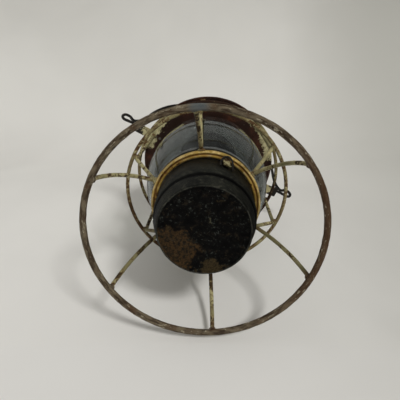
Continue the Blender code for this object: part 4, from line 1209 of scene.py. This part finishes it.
def stage():
    """Three clear sheets under the floor let the cloth tell a ray that comes up through them by its count."""
    material = floor_look()
    floor_sheets("floor", material, (0.0,))
    under = floor_sheets("floor_underside", material, (-0.0003, -0.0006, -0.0009))
    under.visible_shadow = False
    under.visible_diffuse = False
    under.visible_glossy = False
    cloth = link("lying_cloth", lying_cloth_mesh(), lying_cloth_look())
    cloth.visible_glossy = False


def cloth_stations():
    """The cloth as (run, rise): flat as far as its turn, then up in a cove."""
    stations = []
    for i in range(CLOTH_ROWS + 1):
        run = CLOTH_START + CLOTH_LENGTH * i / CLOTH_ROWS
        past = run - CLOTH_TURN
        if past < 0:
            stations.append((run, 0.0))
            continue
        angle = min(past / CLOTH_COVE, math.pi / 2)
        extra = max(0.0, past - CLOTH_COVE * math.pi / 2)
        run = CLOTH_TURN + CLOTH_COVE * math.sin(angle)
        stations.append((run, CLOTH_COVE * (1 - math.cos(angle)) + extra))
    return stations


def lying_cloth_mesh():
    """The cloth touches the base ring and the brim, runs on past the top and rises in a cove."""
    down = Vector((math.cos(LYING_ANGLE), math.sin(LYING_ANGLE), 0.0))
    contact = down * (RING_RADIUS + RING_WIRE / 2 + 0.0004) + Vector((0.0, 0.0, 0.0022))
    along = Vector((down.x * -0.0718, down.y * -0.0718, 0.9974))
    side = Vector((-down.y, down.x, 0.0))
    up = side.cross(along)
    if up.dot(down) > 0:
        up = -up
    bm = bmesh.new()
    rows = []
    for run, rise in cloth_stations():
        row = []
        for j in range(CLOTH_COLUMNS + 1):
            wide = CLOTH_WIDTH * (j / CLOTH_COLUMNS - 0.5)
            near = max(0.0, 1 - math.hypot(wide, (run - 0.1) * 0.9) / 0.16)
            fold = noise.noise(Vector((run * 2.4, wide * 2.4, 1.3)))
            drop = CLOTH_FOLD * (fold - 1) * (1 - near) - 0.0003
            row.append(bm.verts.new(contact + along * run + side * wide + up * (rise + drop)))
        rows.append(row)
    for one, two in zip(rows, rows[1:]):
        for j in range(CLOTH_COLUMNS):
            bm.faces.new((one[j], one[j + 1], two[j + 1], two[j]))
    bm.normal_update()
    bm.faces.ensure_lookup_table()
    if bm.faces[0].normal.dot(up) < 0:
        bmesh.ops.reverse_faces(bm, faces=bm.faces)
    return to_mesh("lying_cloth", bm)


def sun(name, direction, strength, angle, glossy=True):
    lamp = bpy.data.lights.new(name, "SUN")
    lamp.energy = strength
    lamp.angle = math.radians(angle)
    obj = bpy.data.objects.new(name, lamp)
    obj.rotation_euler = Vector(direction).to_track_quat("Z", "Y").to_euler()
    obj.visible_glossy = glossy
    bpy.context.scene.collection.objects.link(obj)


def camera():
    data = bpy.data.cameras.new("camera")
    data.lens = 36.0
    data.sensor_width = 36.0
    data.clip_start = 0.01
    obj = bpy.data.objects.new("camera", data)
    rows = Matrix((CAMERA_RIGHT, CAMERA_UP, -CAMERA_LOOK)).transposed()
    obj.matrix_world = Matrix.Translation(CAMERA) @ rows.to_4x4()
    bpy.context.scene.collection.objects.link(obj)
    bpy.context.scene.camera = obj


def lights():
    """Three soft suns and a room that is dimmer at its right and overhead in what the lantern mirrors."""
    sun("key", KEY_DIRECTION, 1.75, 10.0, glossy=False)
    sun("top", (0.0, 0.05, 1.0), 1.2, 30.0, glossy=False)
    sun("back", (0.25, 0.80, 0.55), 0.7, 40.0)
    world = bpy.data.worlds.new("room")
    room = Nodes(world)
    place = room.add("ShaderNodeTexCoord").outputs["Generated"]
    height = room.add("ShaderNodeSeparateXYZ", {0: place}).outputs[2]
    rise = room.ramp(height, *ROOM_RISE)
    mirrored = room.ramp(room.dot(place, CAMERA_RIGHT), *ROOM_SIDE) * room.ramp(height, *ROOM_CEILING)
    share = room.blend(room.ray("Is Glossy Ray"), 1.0, mirrored)
    sky = room.nodes["Background"]
    room.set(sky, "Color", srgb(240, 239, 236))
    room.set(sky, "Strength", rise * share)
    seen = room.add("ShaderNodeBackground", {"Color": srgb(214, 213, 210)})
    room.surface("World Output", room.ray("Is Camera Ray"), sky, seen)
    bpy.context.scene.world = world
    bpy.context.scene.view_settings.view_transform = "Standard"


def main():
    camera()
    lights()
    ring = ring_look()
    cage = cage_look()
    band = band_look()
    top = top_look("rusted_top_paint", False)
    lid = top_look("sooty_lid_paint", True)
    tin = tin_look("dull_tinplate", srgb(112, 108, 98), srgb(70, 66, 58), srgb(78, 54, 36))
    soot = tin_look("sooty_tinplate", srgb(24, 22, 20), srgb(14, 13, 12), srgb(30, 22, 17), True)
    brass = brass_look()
    dark = dark_look()
    build_cage(ring, cage)
    build_band(band)
    build_fount(fount_look())
    build_globe(glass_look())
    build_brim(top)
    build_drum(lid)
    build_dome(lid)
    build_retainer(soot)
    build_bail(dark)
    build_catch(dark)
    build_ears(ear_look(), tin)
    build_hinge_rivets(tin)
    build_tab(lid)
    dress(brass, "fount_collar", "burner_body", "burner_cone", "wick_tube", "wick_shaft")
    dress(wick_look(), "wick")
    dress(tin, "gallery_plate", "hinge_leaf_frame", "hinge_leaf_lid", "hinge_pin")
    dress(cage, "catch_tongue")
    stage()


main()
